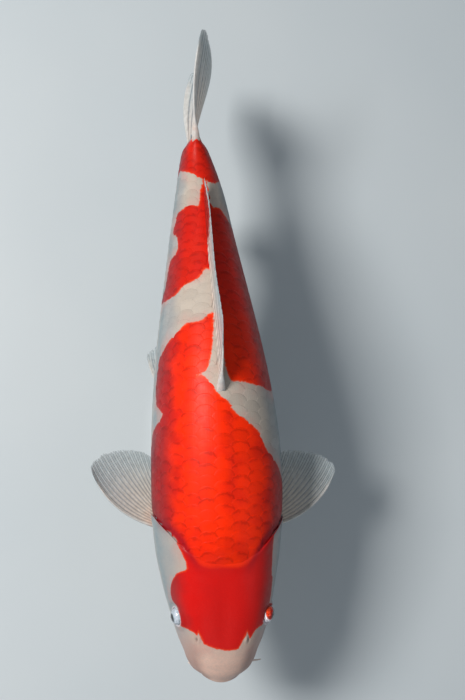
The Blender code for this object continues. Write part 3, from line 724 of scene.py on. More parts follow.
def colour_group():
    """The fish's colours at any place of its skin or scales, with painted shade down the flanks and round
    the hump, as one group.
    """
    group = bpy.data.node_groups.new("koi_colours", "ShaderNodeTree")
    for name in COLOUR_INPUTS:
        group.interface.new_socket(name, in_out="INPUT", socket_type="NodeSocketFloat")
    group.interface.new_socket("Colour", in_out="OUTPUT", socket_type="NodeSocketColor")
    group.interface.new_socket("Red", in_out="OUTPUT", socket_type="NodeSocketFloat")
    given = group.nodes.new("NodeGroupInput").outputs
    result = group.nodes.new("NodeGroupOutput").inputs
    cloud = noise(group, 45.0, 3.0)
    mottle = noise(group, 330.0, 2.0)
    fine = noise(group, 1100.0, 2.0)
    round_here = math_node(group, "ADD", given["Roundness"], ramp(group, cloud, 0.3, 0.7, -0.022, 0.022))

    # The plates' edges waver by about a millimetre, with an orange rim inside the line.
    waver = math_node(group, "MULTIPLY_ADD", mottle, 2.2, -1.1)
    depth = math_node(group, "ADD", given["Red depth"], waver)
    red = ramp(group, depth, -0.7, 0.7)
    rim = math_node(group, "SUBTRACT", ramp(group, depth, -1.0, 0.5), ramp(group, depth, 0.5, 2.2))

    # White: cream on the back, then painted grey and blue-grey shade down the flanks, clean on the belly,
    # peach at the nose.
    ground = blend(group, ramp(group, round_here, 0.18, 0.31), CREAM, SHADE_GREY_WHITE)
    ground = blend(group, ramp(group, round_here, 0.31, 0.42), ground, SHADE_BLUE_GREY)
    ground = blend(group, ramp(group, round_here, 0.43, 0.56), ground, BELLY_WHITE)
    nose = ramp(group, given["Along"], 62.0, 14.0)
    ground = blend(group, math_node(group, "MULTIPLY", nose, 0.9), ground, PEACH)
    side = ramp(group, round_here, 0.12, 0.28)
    cheek = math_node(group, "MULTIPLY", math_node(group, "MULTIPLY", side, nose), 0.85)
    cheek = math_node(group, "MULTIPLY", cheek, ramp(group, round_here, 0.62, 0.5))
    ground = blend(group, cheek, ground, MAUVE)
    near_red = ramp(group, given["Red depth"], -17.0, -1.0)
    blotch = math_node(group, "MULTIPLY", near_red, ramp(group, cloud, 0.42, 0.68, 0.04, 0.55))
    ground = blend(group, blotch, ground, BLUSH)
    ground = blend(group, ramp(group, mottle, 0.35, 0.75, 0.0, 0.22), ground, MOTTLE_GREY)
    # Painted shade in the crease round the hump, on the white.
    ground = blend(group, given["Crease shade"], ground, CREASE_SHADE_WHITE)

    # Red: deep and even on the head, bright on the back, and darkened by painted shade down the flanks,
    # crimson and then dusky.
    colour = blend(group, given["Bright"], HEAD_RED, BACK_RED)
    colour = blend(group, ramp(group, given["Along"], 300.0, 400.0), colour, REAR_RED)
    colour = blend(group, ramp(group, round_here, 0.16, 0.33), colour, FLANK_SHADE_RED)
    colour = blend(group, ramp(group, round_here, 0.34, 0.44), colour, LOW_SHADE_RED)
    patchy = math_node(group, "MULTIPLY", ramp(group, cloud, 0.45, 0.7, 0.0, 0.24), given["Bright"])
    colour = blend(group, patchy, colour, HEAD_RED)
    colour = blend(group, ramp(group, cloud, 0.42, 0.68, 0.0, 0.12), colour, CLOUD_RED)
    rim_share = math_node(group, "MULTIPLY", rim, ramp(group, given["Roundness"], 0.36, 0.2, 0.10, 0.55))
    colour = blend(group, rim_share, colour, RIM_ORANGE)
    # Painted shade in the crease round the hump and beside the ridge, on the red.
    colour = blend(group, math_node(group, "MULTIPLY", given["Crease shade"], 0.7), colour, CREASE_SHADE_RED)
    colour = blend(group, red, ground, colour)

    tone = ramp(group, given["Tone"], -1.0, 1.0, 0.93, 1.05)
    tone = math_node(group, "MULTIPLY", tone, ramp(group, fine, 0.2, 0.8, 0.95, 1.05))
    group.links.new(scaled(group, colour, tone), result["Colour"])
    group.links.new(red, result["Red"])
    return group


koi_colours = colour_group()


def read(tree, name):
    """A number stored on the mesh's points."""
    return node(tree, "ShaderNodeAttribute", attribute_name=name).outputs["Fac"]


def coloured(tree):
    """The group of the fish's colours, fed with what its meshes store."""
    sockets = {socket: read(tree, stored) for socket, stored in COLOUR_INPUTS.items()}
    return node(tree, "ShaderNodeGroup", sockets, node_tree=koi_colours).outputs


def fine_relief(tree, height, strength, distance):
    """Fine relief for the Normal of a shader."""
    sockets = {"Height": height, "Strength": strength, "Distance": distance}
    return node(tree, "ShaderNodeBump", sockets).outputs[0]


skin_finish, tree, shader = new_material(
    "moist_skin", Coat_Weight=0.07, Coat_Roughness=0.24, Specular_IOR_Level=0.18
)
colours = coloured(tree)
colour = blend(tree, read(tree, "lid"), colours["Colour"], LID_WHITE)
# Painted shade darkens the nostril slits and the inside of the mouth.
colour = blend(tree, read(tree, "hollow"), colour, HOLLOW_SHADE_BROWN)
pores = ramp(tree, noise(tree, 900.0, 1.0), 0.62, 0.75, 1.0, 0.93)
ripple = math_node(tree, "MULTIPLY", noise(tree, 120.0), 1.5)
grain = math_node(tree, "ADD", noise(tree, 700.0, 3.0), ripple)
feed(
    tree, shader, Base_Color=scaled(tree, colour, pores),
    Roughness=ramp(tree, noise(tree, 160.0, 3.0), 0.3, 0.7, 0.38, 0.50),
    Normal=fine_relief(tree, grain, 0.22, 0.0006),
)

skin = mesh_piece("skin", skin_points.reshape(-1, 3), skin_faces, skin_finish)
skin_depth = plate_depth(plain_s, grid_girth)

# Over the gill covers the cap's sides are straight, and end at the rolled edge.
head_side = edge_distance < 1.0
cover_line = np.where(grid_girth < 0, 59, 57.5) - np.abs(grid_girth)
skin_depth = np.where(head_side & (plain_s > 104), np.minimum(skin_depth, cover_line), skin_depth)
lid_share = (1 - smooth_step(10.6, 11.4, eye_ring + 0.9 * (grid_girth < 0))) * (eye_out > -6)

# The lids are white, but for the upper rear part of the left one, which is red like the head.
red_lid = smooth_step(0.10, 0.3, top_rear) * lid_share * (grid_girth > 0)
lid_share = lid_share * (1 - red_lid)
skin_depth = np.where(red_lid > 0.5, np.maximum(skin_depth, WELL_INSIDE), skin_depth)

# The skin round each nostril is white as well.
nostril = np.zeros_like(plain_s)
for s_at, g_at in NOSTRILS:
    aside = (grid_girth - g_at) * np.sign(g_at)
    outside = 0.85 * (np.abs(aside - 0.6) - 3.9 + 0.5 * (plain_s - s_at))
    skin_depth = np.where(plain_s > s_at - 9, np.minimum(skin_depth, outside), skin_depth)
    slit = ((plain_s - s_at) / 2.4) ** 2 + ((aside - 2.5) / 0.8) ** 2
    nostril = np.maximum(nostril, np.exp(-slit))
mouth_inside = np.concatenate([smooth_step(0.78, 1.0, lip_share) + 0 * lip_x, 0 * skin_s])
give(
    skin, red_depth=skin_depth, roundness=np.abs(grid_turn) / math.pi, along=plain_s,
    bright=bright_back(plain_s, grid_girth), crease=shoulder_crease_shade(plain_s, grid_girth),
    tone=0 * plain_s, lid=lid_share,
    hollow=np.maximum(0.8 * nostril, mouth_inside),
)
unwrap(skin, around_numbers, ring_numbers)
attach(skin, "root")
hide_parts("head", "lower_jaw", "gill_cover_left", "gill_cover_right", "trunk", "tail_stem")


# --- The scales ------------------------------------------------------------------------------
# Thin horny plates set in the skin in lengthwise rows, each overlapping the next towards the
# tail. They run in half steps from row to row, and one row along the side carries the pores.

LATERAL_SHARE = 0.512  # the girth share of the lateral line
ROWS_AT_SHOULDER, ROWS_AT_TAIL = 7, 4  # rows above the lateral line
ROWS_THIN_OUT = (270.0, 480.0)
SCALE_STEP = ((90, 7.6), (130, 9.4), (170, 10.6), (250, 10.9), (340, 10.2), (440, 9.0), (545, 7.2))
SCALE_LENGTH = 1.95  # in steps
SHOULDER_HOLLOW = ((0, -1.0), (2, -1.1), (4, -0.9), (6, -0.65), (9, -0.3), (14, 0), (20, 0))
SCALE_SPREAD = 1.32  # width in row spacings
SCALE_RISE = (-0.46, -0.20)  # height off the fish's outline at the root and at the rear edge
SCALE_DOME = 0.04
SCALE_THICK = 0.10
SCALE_BEVEL = 0.05  # how far the rear edge is rounded down
SCALE_ALONG = (0, 0.14, 0.28, 0.42, 0.55, 0.67, 0.78, 0.87, 0.94, 0.975, 1.0)
SCALE_ACROSS = (-1, -0.95, -0.82, -0.60, -0.32, 0, 0.32, 0.60, 0.82, 0.95, 1)
SCALE_GRID = (len(SCALE_ALONG), len(SCALE_ACROSS))
SCALE_PATCH = 0.003  # the size of a scale on the map for baking
SCALE_SEED = 7
PORE_BROWN = (0.22, 0.18, 0.17, 1)
FIRST_SCALE_S = 88.0
BACK_SHARE = 0.33  # the girth share down to which scales belong to the back's piece


def rows_above(s):
    """How many rows lie between the lateral line and the back."""
    return mix(ROWS_AT_SHOULDER, ROWS_AT_TAIL, smooth_step(*ROWS_THIN_OUT, s))


def row_share(row, s):
    """The girth share of a row: 0 is the lateral line, above zero nearer to the back."""
    part = row / rows_above(s)
    above = LATERAL_SHARE * (1 - part)
    below = LATERAL_SHARE - (1 - LATERAL_SHARE) * part
    return np.where(part > 0, above, below)


def scale_roots():
    """Every scale's row, side, root and step. The rows on the back and belly have one side."""
    marks = [FIRST_SCALE_S]
    while marks[-1] < GRID_END:
        marks.append(marks[-1] + float(profile(SCALE_STEP, marks[-1])) / 2)
    found = []
    for row in range(-ROWS_AT_SHOULDER, ROWS_AT_SHOULDER + 1):
        for k in range(row % 2, len(marks) - 1, 2):
            s = marks[k]
            step = float(profile(SCALE_STEP, s))
            share = float(row_share(row, s + step))
            rows = float(rows_above(s + step))
            reach = abs(row) / rows
            if reach > 1.02:
                continue
            single = abs(row) == round(rows) and reach > 0.97
            for side in ((1,) if single else (1, -1)):
                found.append((row, side, s, step, share))
    return found


rng = np.random.default_rng(SCALE_SEED)
along_grid = np.array(SCALE_ALONG, float)[:, None]
across_grid = np.array(SCALE_ACROSS, float)[None, :]
rear_reach = 0.60 + 0.40 * np.sqrt(1 - 0.985 * np.abs(across_grid) ** 2.4)
scale_batches = {"back": [], "left": [], "right": []}
for row, side, s, step, share in scale_roots():
    length = SCALE_LENGTH * step
    root_s = s + rng.uniform(-0.25, 0.25)
    tone = rng.uniform(-1, 1)
    wander = rng.uniform(-0.012, 0.012)
    edge = float(gill_edge_s(np.array(side * share)))
    rear_s = root_s + length
    if rear_s < edge + 3.5 or rear_s > float(skin_end_s(share)) + 2:
        continue
    part = "back" if share < BACK_SHARE else "left" if side > 0 else "right"
    scale_batches[part].append((row, side, root_s, length, tone, wander, edge))


def scale_plates(batch):
    """The points and the stored numbers of a list of scales, laid over one another."""
    columns = (np.array(values, float)[:, None, None] for values in zip(*batch))
    row, side, root_s, length, tone, wander, edge = columns
    run = along_grid * rear_reach
    s = root_s + length * run
    s = np.maximum(s, edge + 1.2 + 0.05 * (s - root_s))
    spacing = np.where(row >= 0, LATERAL_SHARE, 1 - LATERAL_SHARE) / rows_above(s)
    widen = 0.80 + 0.20 * smooth_step(0, 0.45, along_grid) - 0.04 * smooth_step(0.7, 1, along_grid)
    across = across_grid * widen * spacing * SCALE_SPREAD / 2
    share = side * row_share(row, s) + across + wander * spacing
    height = mix(*SCALE_RISE, np.clip((s - root_s) / length, 0, 1))
    height = height + SCALE_DOME * (1 - across_grid**2) * np.sin(math.pi * np.clip(run, 0, 1) * 0.85)
    height = height - SCALE_BEVEL * smooth_step(0.93, 1.0, along_grid)
    pore = np.exp(-((across_grid / 0.10) ** 2)) * np.exp(-(((run - 0.80) / 0.12) ** 2))
    height = height + 0.22 * pore * (row == 0)
    gap = s - edge
    turned = turn_at(s, share)
    bold = mix(0.22, 1.0, smooth_step(22, 50, np.degrees(np.abs(turned))))
    height = height + profile(SHOULDER_HOLLOW, gap) * bold
    tail = smooth_step(526, 548, s)
    height = height * (1 - 0.25 * tail)

    # Near the edge of a red plate each scale takes its colour partly as a whole.
    centre_s = root_s + 0.72 * length
    centre_share = side * row_share(row, centre_s)
    girth = share * half_girth(s)
    own = plate_depth(s, girth)
    whole = plate_depth(centre_s, centre_share * half_girth(centre_s))
    depth = np.where(np.abs(own) > 14, own, mix(own, whole, 0.18))
    normal = body_normal(s, share)
    top = body_point(s, share) + (height * MM)[..., None] * normal
    low = top - SCALE_THICK * MM * normal
    stored = {
        "red_depth": depth, "roundness": np.abs(turned) / math.pi, "along": s,
        "bright": bright_back(s, girth), "tone": tone + 0 * s, "crease": shoulder_crease_shade(s, girth),
        "to_rear": length * (rear_reach - run), "across": across_grid + 0 * s,
        "pore": pore * (row == 0),
    }
    u = 0.02 + 0.96 * (root_s + 0 * s) / 560 + (along_grid - 0.5) * SCALE_PATCH
    v = 0.5 + 0.48 * centre_share + across_grid / 2 * SCALE_PATCH
    return top, low, stored, u, v + 0 * s


def sheet_faces(rows, columns):
    """The top, the underside and the rim of a thin sheet whose two grids follow one another."""
    count = rows * columns
    top = grid_faces(rows, columns)
    ring = [*range(columns), *range(2 * columns - 1, count, columns)]
    ring += [*range(count - 2, count - columns - 1, -1), *range(count - 2 * columns, 0, -columns)]
    ring = np.array(ring)
    after = np.roll(ring, -1)
    rim = np.stack([after, ring, ring + count, after + count], -1)
    return np.concatenate([top, top[:, ::-1] + count, rim])


def scale_faces(count):
    """The faces of a number of scales."""
    rows, columns = SCALE_GRID
    shift = (np.arange(count) * 2 * rows * columns)[:, None, None]
    return (sheet_faces(rows, columns)[None] + shift).reshape(-1, 4)


scale_finish, tree, shader = new_material(
    "scale_horn", Coat_Weight=0.03, Coat_Roughness=0.25, Specular_IOR_Level=0.11
)
colours = coloured(tree)
# The net of darker arcs near each scale's rear edge is partly the koi's own pigment and partly painted
# shade where the scales overlap, and the thin rear line is painted shade along the rear edge.
to_rear = read(tree, "to_rear")
ragged = math_node(tree, "ADD", to_rear, ramp(tree, noise(tree, 300.0, 2.0), 0.3, 0.7, -0.9, 0.9))
net_and_shade = math_node(tree, "SUBTRACT", ramp(tree, ragged, 0.0, 1.8), ramp(tree, ragged, 1.8, 5.0))
net_and_shade = math_node(tree, "MULTIPLY", net_and_shade, ramp(tree, noise(tree, 90.0, 2.0), 0.38, 0.62, 0.1, 1.0))
darker = math_node(tree, "MULTIPLY", net_and_shade, 0.05)
red_net_and_shade = math_node(tree, "MULTIPLY", math_node(tree, "MULTIPLY", net_and_shade, colours["Red"]), 0.22)
darker = math_node(tree, "ADD", darker, red_net_and_shade)
rear_line_and_shade = ramp(tree, to_rear, 0.8, 0.1, 0.0, 0.03)
darker = math_node(tree, "SUBTRACT", math_node(tree, "SUBTRACT", 1.0, darker), rear_line_and_shade)
pore = math_node(tree, "MULTIPLY", read(tree, "pore"), 0.45)
colour = blend(tree, pore, scaled(tree, colours["Colour"], darker), PORE_BROWN)
rings_wave = math_node(tree, "SINE", math_node(tree, "MULTIPLY", to_rear, 9.0))
rays_wave = math_node(tree, "SINE", math_node(tree, "MULTIPLY", read(tree, "across"), 26.0))
lines = math_node(tree, "ADD", rings_wave, rays_wave)
grain = math_node(tree, "ADD", math_node(tree, "MULTIPLY", noise(tree, 500.0, 2.0), 4.0), lines)
feed(
    tree, shader, Base_Color=colour, Normal=fine_relief(tree, grain, 0.08, 0.0002),
    Roughness=ramp(tree, noise(tree, 160.0, 3.0), 0.3, 0.7, 0.36, 0.48),
)

for part, batch in scale_batches.items():
    top, low, stored, u, v = scale_plates(batch)
    points = np.stack([top, low], 1).reshape(-1, 3)
    scales = mesh_piece(f"scales_{part}", points, scale_faces(len(batch)), scale_finish)
    give(scales, **{name: np.stack([value, value], 1) for name, value in stored.items()})
    unwrap(scales, np.stack([u, u], 1).ravel(), np.stack([v, v], 1).ravel())
    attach(scales, "root")


# --- The fins --------------------------------------------------------------------------------
# Sheets of soft rays that fork towards the edge, joined by a thin clear web. Each grows from a
# fleshy root, and its outer edge is scalloped between the rays.

ROOT_SINK = 5.0  # how far a fin starts inside the body
WEB_THICK = 0.18  # half the thickness of the web
RAY_THICK = 0.26  # how far a ray stands out at its root
POINTS_PER_RAY = 12
SEGMENTS = 60  # joints along a ray
WEB_COLOURS = (0.42, 0.37, 0.35, 1), (0.28, 0.35, 0.39, 1)  # at the root and at the edge
RAY_COLOURS = (0.60, 0.53, 0.48, 1), (0.37, 0.43, 0.46, 1)
LEAD_RAY = (0.54, 0.54, 0.53, 1)
ROOT_BLUSH = (0.66, 0.42, 0.33, 1)
FIN_RED = (0.32, 0.015, 0.011, 1)

DORSAL_FRONT, DORSAL_BACK = 275.0, 468.0
DORSAL_HEIGHT = ((0, 56), (0.05, 60), (0.16, 52), (0.35, 43), (0.6, 39), (0.9, 31), (1, 24))
DORSAL_SLANT = ((0, 42), (0.2, 48), (1, 62))
DORSAL_LEAN = ((0, 0.06), (0.3, 0.14), (0.6, 0.26), (1, 0.24))
ANAL_FRONT, ANAL_BACK = 422.0, 460.0
ANAL_LENGTH = ((0, 50), (0.12, 58), (0.5, 44), (1, 27))
TAIL_ROOT = 534.0
TAIL_REACH = 113.0
TAIL_LENGTH = ((0, 62), (0.5, 87), (0.75, 103), (0.9, 112.5), (1, TAIL_REACH))
LOWER_LOBE = 0.94
TAIL_SPREAD = 27.0
TAIL_BELLY = 19.0
UPPER_BOW, LOWER_BOW = 5.0, 8.0
UPPER_SWING, LOWER_SWING = 5.0, 7.0
PECTORAL_FRONT, PECTORAL_BACK = (149.0, -36.0), (172.0, -52.0)
PECTORAL_LENGTH = (
    (0, 86), (0.07, 89), (0.18, 89), (0.35, 85.5), (0.5, 78.5), (0.75, 65), (1, 46),
)
PECTORAL_SWEEP = ((0, 12.5), (0.25, 28), (0.5, 45), (0.75, 59), (1, 72))
PECTORAL_CURL = ((0, 27), (0.25, 17), (0.5, 9), (1, 4))
PECTORAL_RISE = 0.22
PELVIC_FRONT, PELVIC_BACK = (274.0, -66.0), (288.0, -71.5)
PELVIC_LENGTH = ((0, 59), (0.2, 62), (0.6, 55), (1, 36))
PELVIC_SWEEP = ((0, 40), (0.5, 60), (1, 78))


def side_x(s, z):
    """How far out the body's surface is at this height."""
    level = profile(WIDEST_LEVEL, s)
    above = z >= level
    reach = np.where(above, profile(BACK, s) - level, level - profile(BELLY, s))
    square = np.where(above, profile(SQUARE_ABOVE, s), profile(SQUARE_BELOW, s))
    share = np.minimum(np.abs(z - level) / reach, 1)
    return profile(HALF_WIDTH, s) * (1 - share**square) ** (1 / square)


def dorsal_ray(a, b):
    """A point of the dorsal fin: a is which ray, front to back, and b how far out along it."""
    s = mix(DORSAL_FRONT, DORSAL_BACK, a)
    reach = (profile(DORSAL_HEIGHT, a) + ROOT_SINK) * b
    slant = np.radians(profile(DORSAL_SLANT, a) + 14 * b)
    up = reach * np.cos(slant)
    lean = profile(DORSAL_LEAN, a) + 0.05 * np.sin(9 * a)
    return up * lean, s + reach * np.sin(slant), profile(BACK, s) - ROOT_SINK + up


def anal_ray(a, b):
    """A point of the anal fin, from its front ray to its rear one."""
    s = mix(ANAL_FRONT, ANAL_BACK, a)
    reach = (profile(ANAL_LENGTH, a) + ROOT_SINK) * b
    slant = np.radians(46 + 14 * a + 12 * b)
    z = profile(BELLY, s) + ROOT_SINK - reach * np.cos(slant)
    return -3 * b * b + 0 * a, s + reach * np.sin(slant), z


def tail_ray(a, b):
    """A point of the tail fin: a runs from the lowest ray to the highest."""
    across = 2 * a - 1
    reach = profile(TAIL_LENGTH, np.abs(across)) * np.where(across >= 0, 1, LOWER_LOBE) * b
    splay = np.radians(TAIL_SPREAD * across * (1 - 0.35 * b))
    back = reach * np.cos(splay)
    share = back / TAIL_REACH
    middle = TAIL_BELLY * smooth_step(0, 0.85, share)
    bow = np.where(across >= 0, UPPER_BOW, LOWER_BOW)
    swing = np.where(across >= 0, UPPER_SWING, LOWER_SWING)
    edge = swing * share**3 - bow * np.sin(0.95 * math.pi * share)
    x = mix(middle, edge, np.abs(across) ** 3)
    return x, TAIL_ROOT + back, mix(-26.0, 27.0, a) + reach * np.sin(splay)


def pectoral_ray(a, b):
    """A point of the left pectoral fin, from its front ray to its rear one."""
    s = mix(PECTORAL_FRONT[0], PECTORAL_BACK[0], a)
    z = mix(PECTORAL_FRONT[1], PECTORAL_BACK[1], a)
    reach = (profile(PECTORAL_LENGTH, a) + ROOT_SINK) * b
    sweep = np.radians(profile(PECTORAL_SWEEP, a) + profile(PECTORAL_CURL, a) * b**1.3)
    rise = reach * (PECTORAL_RISE * (1 - 0.85 * a) - 0.06 * b) - 3 * np.sin(math.pi * a) * b
    return side_x(s, z) - ROOT_SINK + reach * np.cos(sweep), s + reach * np.sin(sweep), z + rise


def pelvic_ray(a, b):
    """A point of the left pelvic fin, from its front ray to its rear one."""
    s = mix(PELVIC_FRONT[0], PELVIC_BACK[0], a)
    z = mix(PELVIC_FRONT[1], PELVIC_BACK[1], a)
    reach = (profile(PELVIC_LENGTH, a) + ROOT_SINK) * b
    sweep = np.radians(profile(PELVIC_SWEEP, a) + 24 * b)
    x = side_x(s, z) - ROOT_SINK + reach * np.cos(sweep)
    return x, s + reach * np.sin(sweep), z + 1.5 - 0.2 * reach


def ray_ridge(place, b):
    """How near the top of a ray each point is, from 0 to 1. A ray forks, and forks again."""
    cell = place - np.floor(place)
    aside = np.abs(cell - 0.5)
    first = 0.25 * smooth_step(0.30, 0.85, b)
    aside = np.abs(aside - first)
    second = 0.09 * smooth_step(0.7, 1.0, b)
    aside = np.abs(aside - second)
    width = 0.40 - 0.16 * smooth_step(0.35, 0.8, b) - 0.08 * smooth_step(0.7, 1, b)
    return np.cos(np.clip(aside / width, 0, 1) * math.pi / 2) ** 0.9


def no_red(a, b):
    """The depth inside the red where a fin has none."""
    return -20 + 0 * a


def dorsal_red(a, b):
    """How far inside the red each place of the dorsal fin is: only its rear has any."""
    return 40 * np.minimum(0.80 - b, 1.3 * (a - 0.76))


def fin_sheet(name, ray, side, rays, steps, seed, ragged, lead=1, flesh=1.0, front_flesh=0.0,
              pleat=0.12, red_depth=no_red):
    """A closed fin. lead is 1 where the first ray is the strong one, or 2 for the outer two."""
    columns = rays * POINTS_PER_RAY + 1
    a = np.linspace(0, 1, columns)[None, :]
    place = a * rays
    draws = np.random.default_rng(seed).uniform(0, 1, rays * 4 + 2)
    tear = np.interp(place, np.arange(len(draws)) / 4, draws)
    trim = 1 - ragged * (0.6 * tear + 0.8 * (1 - ray_ridge(place, np.ones_like(place))))
    b = np.linspace(0, 1, steps)[:, None] ** 0.92 * trim
    grid_a = a + 0 * b
    x, s, z = ray(grid_a, b)
    points = on_fish(side * x, s, z)
    round_way = np.gradient(points, axis=1)
    outward = np.gradient(points, axis=0)
    normal = np.cross(round_way, outward)
    normal /= np.maximum(np.linalg.norm(normal, axis=-1, keepdims=True), 1e-12)
    ridge = ray_ridge(place + 0 * b, b)
    first = 1 - smooth_step(0.35, 1.2, place)
    if lead == 2:
        first = np.maximum(first, smooth_step(rays - 1.2, rays - 0.35, place))
    strong = first * (1 - smooth_step(0.75, 1.0, b))
    half = WEB_THICK + RAY_THICK * ridge * (1 - 0.62 * b) + 0.55 * strong
    thick_front = front_flesh * (1 - smooth_step(0.0, 2.5, place))
    half += (flesh + thick_front) * 1.1 * (1 - smooth_step(0.05, 0.26 + 0.10 * thick_front, b))
    half *= mix(1, 0.35, smooth_step(0.93, 1.0, b / trim))
    half = np.maximum(half, 0.10)
    wave = pleat * np.cos(2 * math.pi * place) * smooth_step(0.2, 0.7, b)
    upper = points + ((wave + half) * MM)[..., None] * normal
    lower = points + ((wave - half) * MM)[..., None] * normal
    faces = sheet_faces(steps, columns)
    if side < 0:
        faces = faces[:, ::-1]
    obj = mesh_piece(name, np.stack([upper, lower]).reshape(-1, 3), faces, fin_finish)
    stored = {
        "ray": np.maximum(ridge, strong), "reach": b, "lead": strong,
        "red_depth": red_depth(grid_a, b), "segment": b * SEGMENTS,
    }
    give(obj, **{key: np.tile((value + 0 * grid_a).ravel(), 2) for key, value in stored.items()})
    return obj


fin_finish, tree, shader = new_material(
    "fin_web", Coat_Weight=0.06, Coat_Roughness=0.3, Specular_IOR_Level=0.25,
    Subsurface_Weight=0.45, Subsurface_Radius=(1.0, 0.9, 0.8), Subsurface_Scale=0.004,
)
ray = read(tree, "ray")
reach = read(tree, "reach")
web = blend(tree, ramp(tree, reach, 0.15, 0.9), *WEB_COLOURS)
horn = blend(tree, ramp(tree, reach, 0.15, 1.0), *RAY_COLOURS)
horn = blend(tree, read(tree, "lead"), horn, LEAD_RAY)
colour = blend(tree, ramp(tree, ray, 0.15, 0.85), web, horn)
blotches = ramp(tree, noise(tree, 90.0), 0.35, 0.7, 0.1, 0.5)
blush = math_node(tree, "MULTIPLY", ramp(tree, reach, 0.32, 0.04), blotches)
colour = blend(tree, blush, colour, ROOT_BLUSH)
wavering = math_node(tree, "MULTIPLY_ADD", noise(tree, 220.0), 8.0, -4.0)
red = ramp(tree, math_node(tree, "ADD", read(tree, "red_depth"), wavering), -1.5, 1.5)
colour = blend(tree, red, colour, FIN_RED)
mottle = ramp(tree, noise(tree, 260.0, 3.0), 0.3, 0.7, 0.90, 1.08)
clear = math_node(tree, "MULTIPLY", ramp(tree, reach, 0.12, 0.5), ramp(tree, ray, 0.8, 0.1))
clear = math_node(tree, "MULTIPLY", clear, ramp(tree, reach, 0.5, 1.0, 0.40, 0.62))
joints = math_node(tree, "SINE", math_node(tree, "MULTIPLY", read(tree, "segment"), 6.283))
jointed = math_node(tree, "MULTIPLY", ray, ramp(tree, reach, 0.2, 0.5))
joints = math_node(tree, "MULTIPLY", joints, jointed)
grain = math_node(tree, "ADD", joints, math_node(tree, "MULTIPLY", noise(tree, 900.0, 2.0), 1.5))
feed(
    tree, shader, Base_Color=scaled(tree, colour, mottle), Alpha=math_node(tree, "SUBTRACT", 1.0, clear),
    Roughness=ramp(tree, ray, 0.0, 1.0, 0.28, 0.42), Normal=fine_relief(tree, grain, 0.12, 0.00015),
)

# Each fin's side, rays, points along a ray, seed, how ragged its edge is, and what is its own.
FINS = {
    "dorsal_fin_rays": (dorsal_ray, 1, 20, 44, 3, 0.07, {"front_flesh": 2.2, "red_depth": dorsal_red}),
    "anal_fin_rays": (anal_ray, 1, 8, 40, 4, 0.04, {}),
    "tail_fin_rays": (tail_ray, 1, 19, 80, 5, 0.02, {"lead": 2, "flesh": 2.6, "pleat": 0.05}),
    "pectoral_fin_rays_left": (pectoral_ray, 1, 16, 64, 6, 0.035, {}),
    "pectoral_fin_rays_right": (pectoral_ray, -1, 16, 64, 7, 0.035, {}),
    "pelvic_fin_rays_left": (pelvic_ray, 1, 9, 44, 8, 0.04, {}),
    "pelvic_fin_rays_right": (pelvic_ray, -1, 9, 44, 9, 0.04, {}),
}
for name, (ray_of, side, rays, steps, seed, ragged, own) in FINS.items():
    fin = fin_sheet(name, ray_of, side, rays, steps, seed, ragged, **own)
    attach(fin, "root")
    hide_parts(name.replace("_rays", ""))


# --- The eyes --------------------------------------------------------------------------------
# A glass ball in each socket, with a silver grey iris and a dark pupil that looks out to the side.
# The upper part of the left ball is orange, and a clear cornea covers each.

PUPIL_ANGLE = 27.0
BALL_RADIUS = 9.4
CORNEA_RADIUS = 9.76
CORNEA_ANGLE = 74.0
PATCH_PLACE, PATCH_RADIUS = (6.9, 1.3, 5.9), 8.1  # the orange, from the left eye's centre
EYE_RINGS = EYE_TURNS = 72
CORNEA_RINGS = 24
CORNEA_THICK = 0.2
IRIS_GREYS = (0.27, 0.30, 0.34, 1), (0.20, 0.23, 0.27, 1)
IRIS_ORANGES = (0.26, 0.008, 0.005, 1), (0.52, 0.035, 0.005, 1)
PUPIL_RING = (0.13, 0.18, 0.19, 1)
PUPIL_BLACK = (0.006, 0.007, 0.012, 1)
CORNEA_TINTS = (0.97, 0.98, 1.0, 1), (1, 1, 1, 1)


def turned_to(side, direction):
    """The turning that carries +Z to a direction given as if on the left side."""
    x, y, z = direction
    return np.array(Vector((side * x, y, z)).to_track_quat("Z", "Y").to_matrix())


def dome(angles, radii, centre, turning):
    """The rings of a round surface about its own +Z, each at an angle from it."""
    swing = np.linspace(0, 2 * math.pi, EYE_TURNS, endpoint=False)[None, :]
    polar = np.radians(angles)[:, None]
    radius = np.asarray(radii)[:, None]
    out = radius * np.sin(polar)
    local = np.stack([out * np.cos(swing), out * np.sin(swing), radius * np.cos(polar) + 0 * swing], -1)
    return centre + (local @ turning.T) * MM


def angles_from(outward, turning):
    """How far each direction is from the +Z of a turning, in degrees."""
    return np.degrees(np.arccos(np.clip(outward @ turning[:, 2], -1, 1)))


eye_finish, tree, shader = new_material("eye_ball", Specular_IOR_Level=0.2, Roughness=0.35)
polar = read(tree, "polar")
streaks = ramp(tree, noise(tree, 600.0, 2.0), 0.35, 0.7)
patch = read(tree, "patch")
iris = blend(tree, streaks, *IRIS_GREYS)
iris = blend(tree, ramp(tree, patch, -7.0, -5.0), iris, LID_WHITE)
orange = blend(tree, ramp(tree, polar, 36.0, 72.0), *IRIS_ORANGES)
iris = blend(tree, ramp(tree, patch, -0.5, 0.5), iris, orange)
ring = ramp(tree, polar, PUPIL_ANGLE + 7, PUPIL_ANGLE + 1, 0.0, 0.8)
iris = blend(tree, ring, iris, PUPIL_RING)
colour = blend(tree, ramp(tree, polar, PUPIL_ANGLE - 1, PUPIL_ANGLE + 0.5), PUPIL_BLACK, iris)
shade = ramp(tree, read(tree, "rim"), 67.0, 60.0, 0.4, 1.0)
feed(tree, shader, Base_Color=scaled(tree, colour, shade))

cornea_finish, tree, shader = new_material("cornea", Transmission_Weight=1.0, IOR=1.2, Roughness=0.02)
clouding = ramp(tree, noise(tree, 80.0), 0.3, 0.7)
feed(tree, shader, Base_Color=blend(tree, clouding, *CORNEA_TINTS))

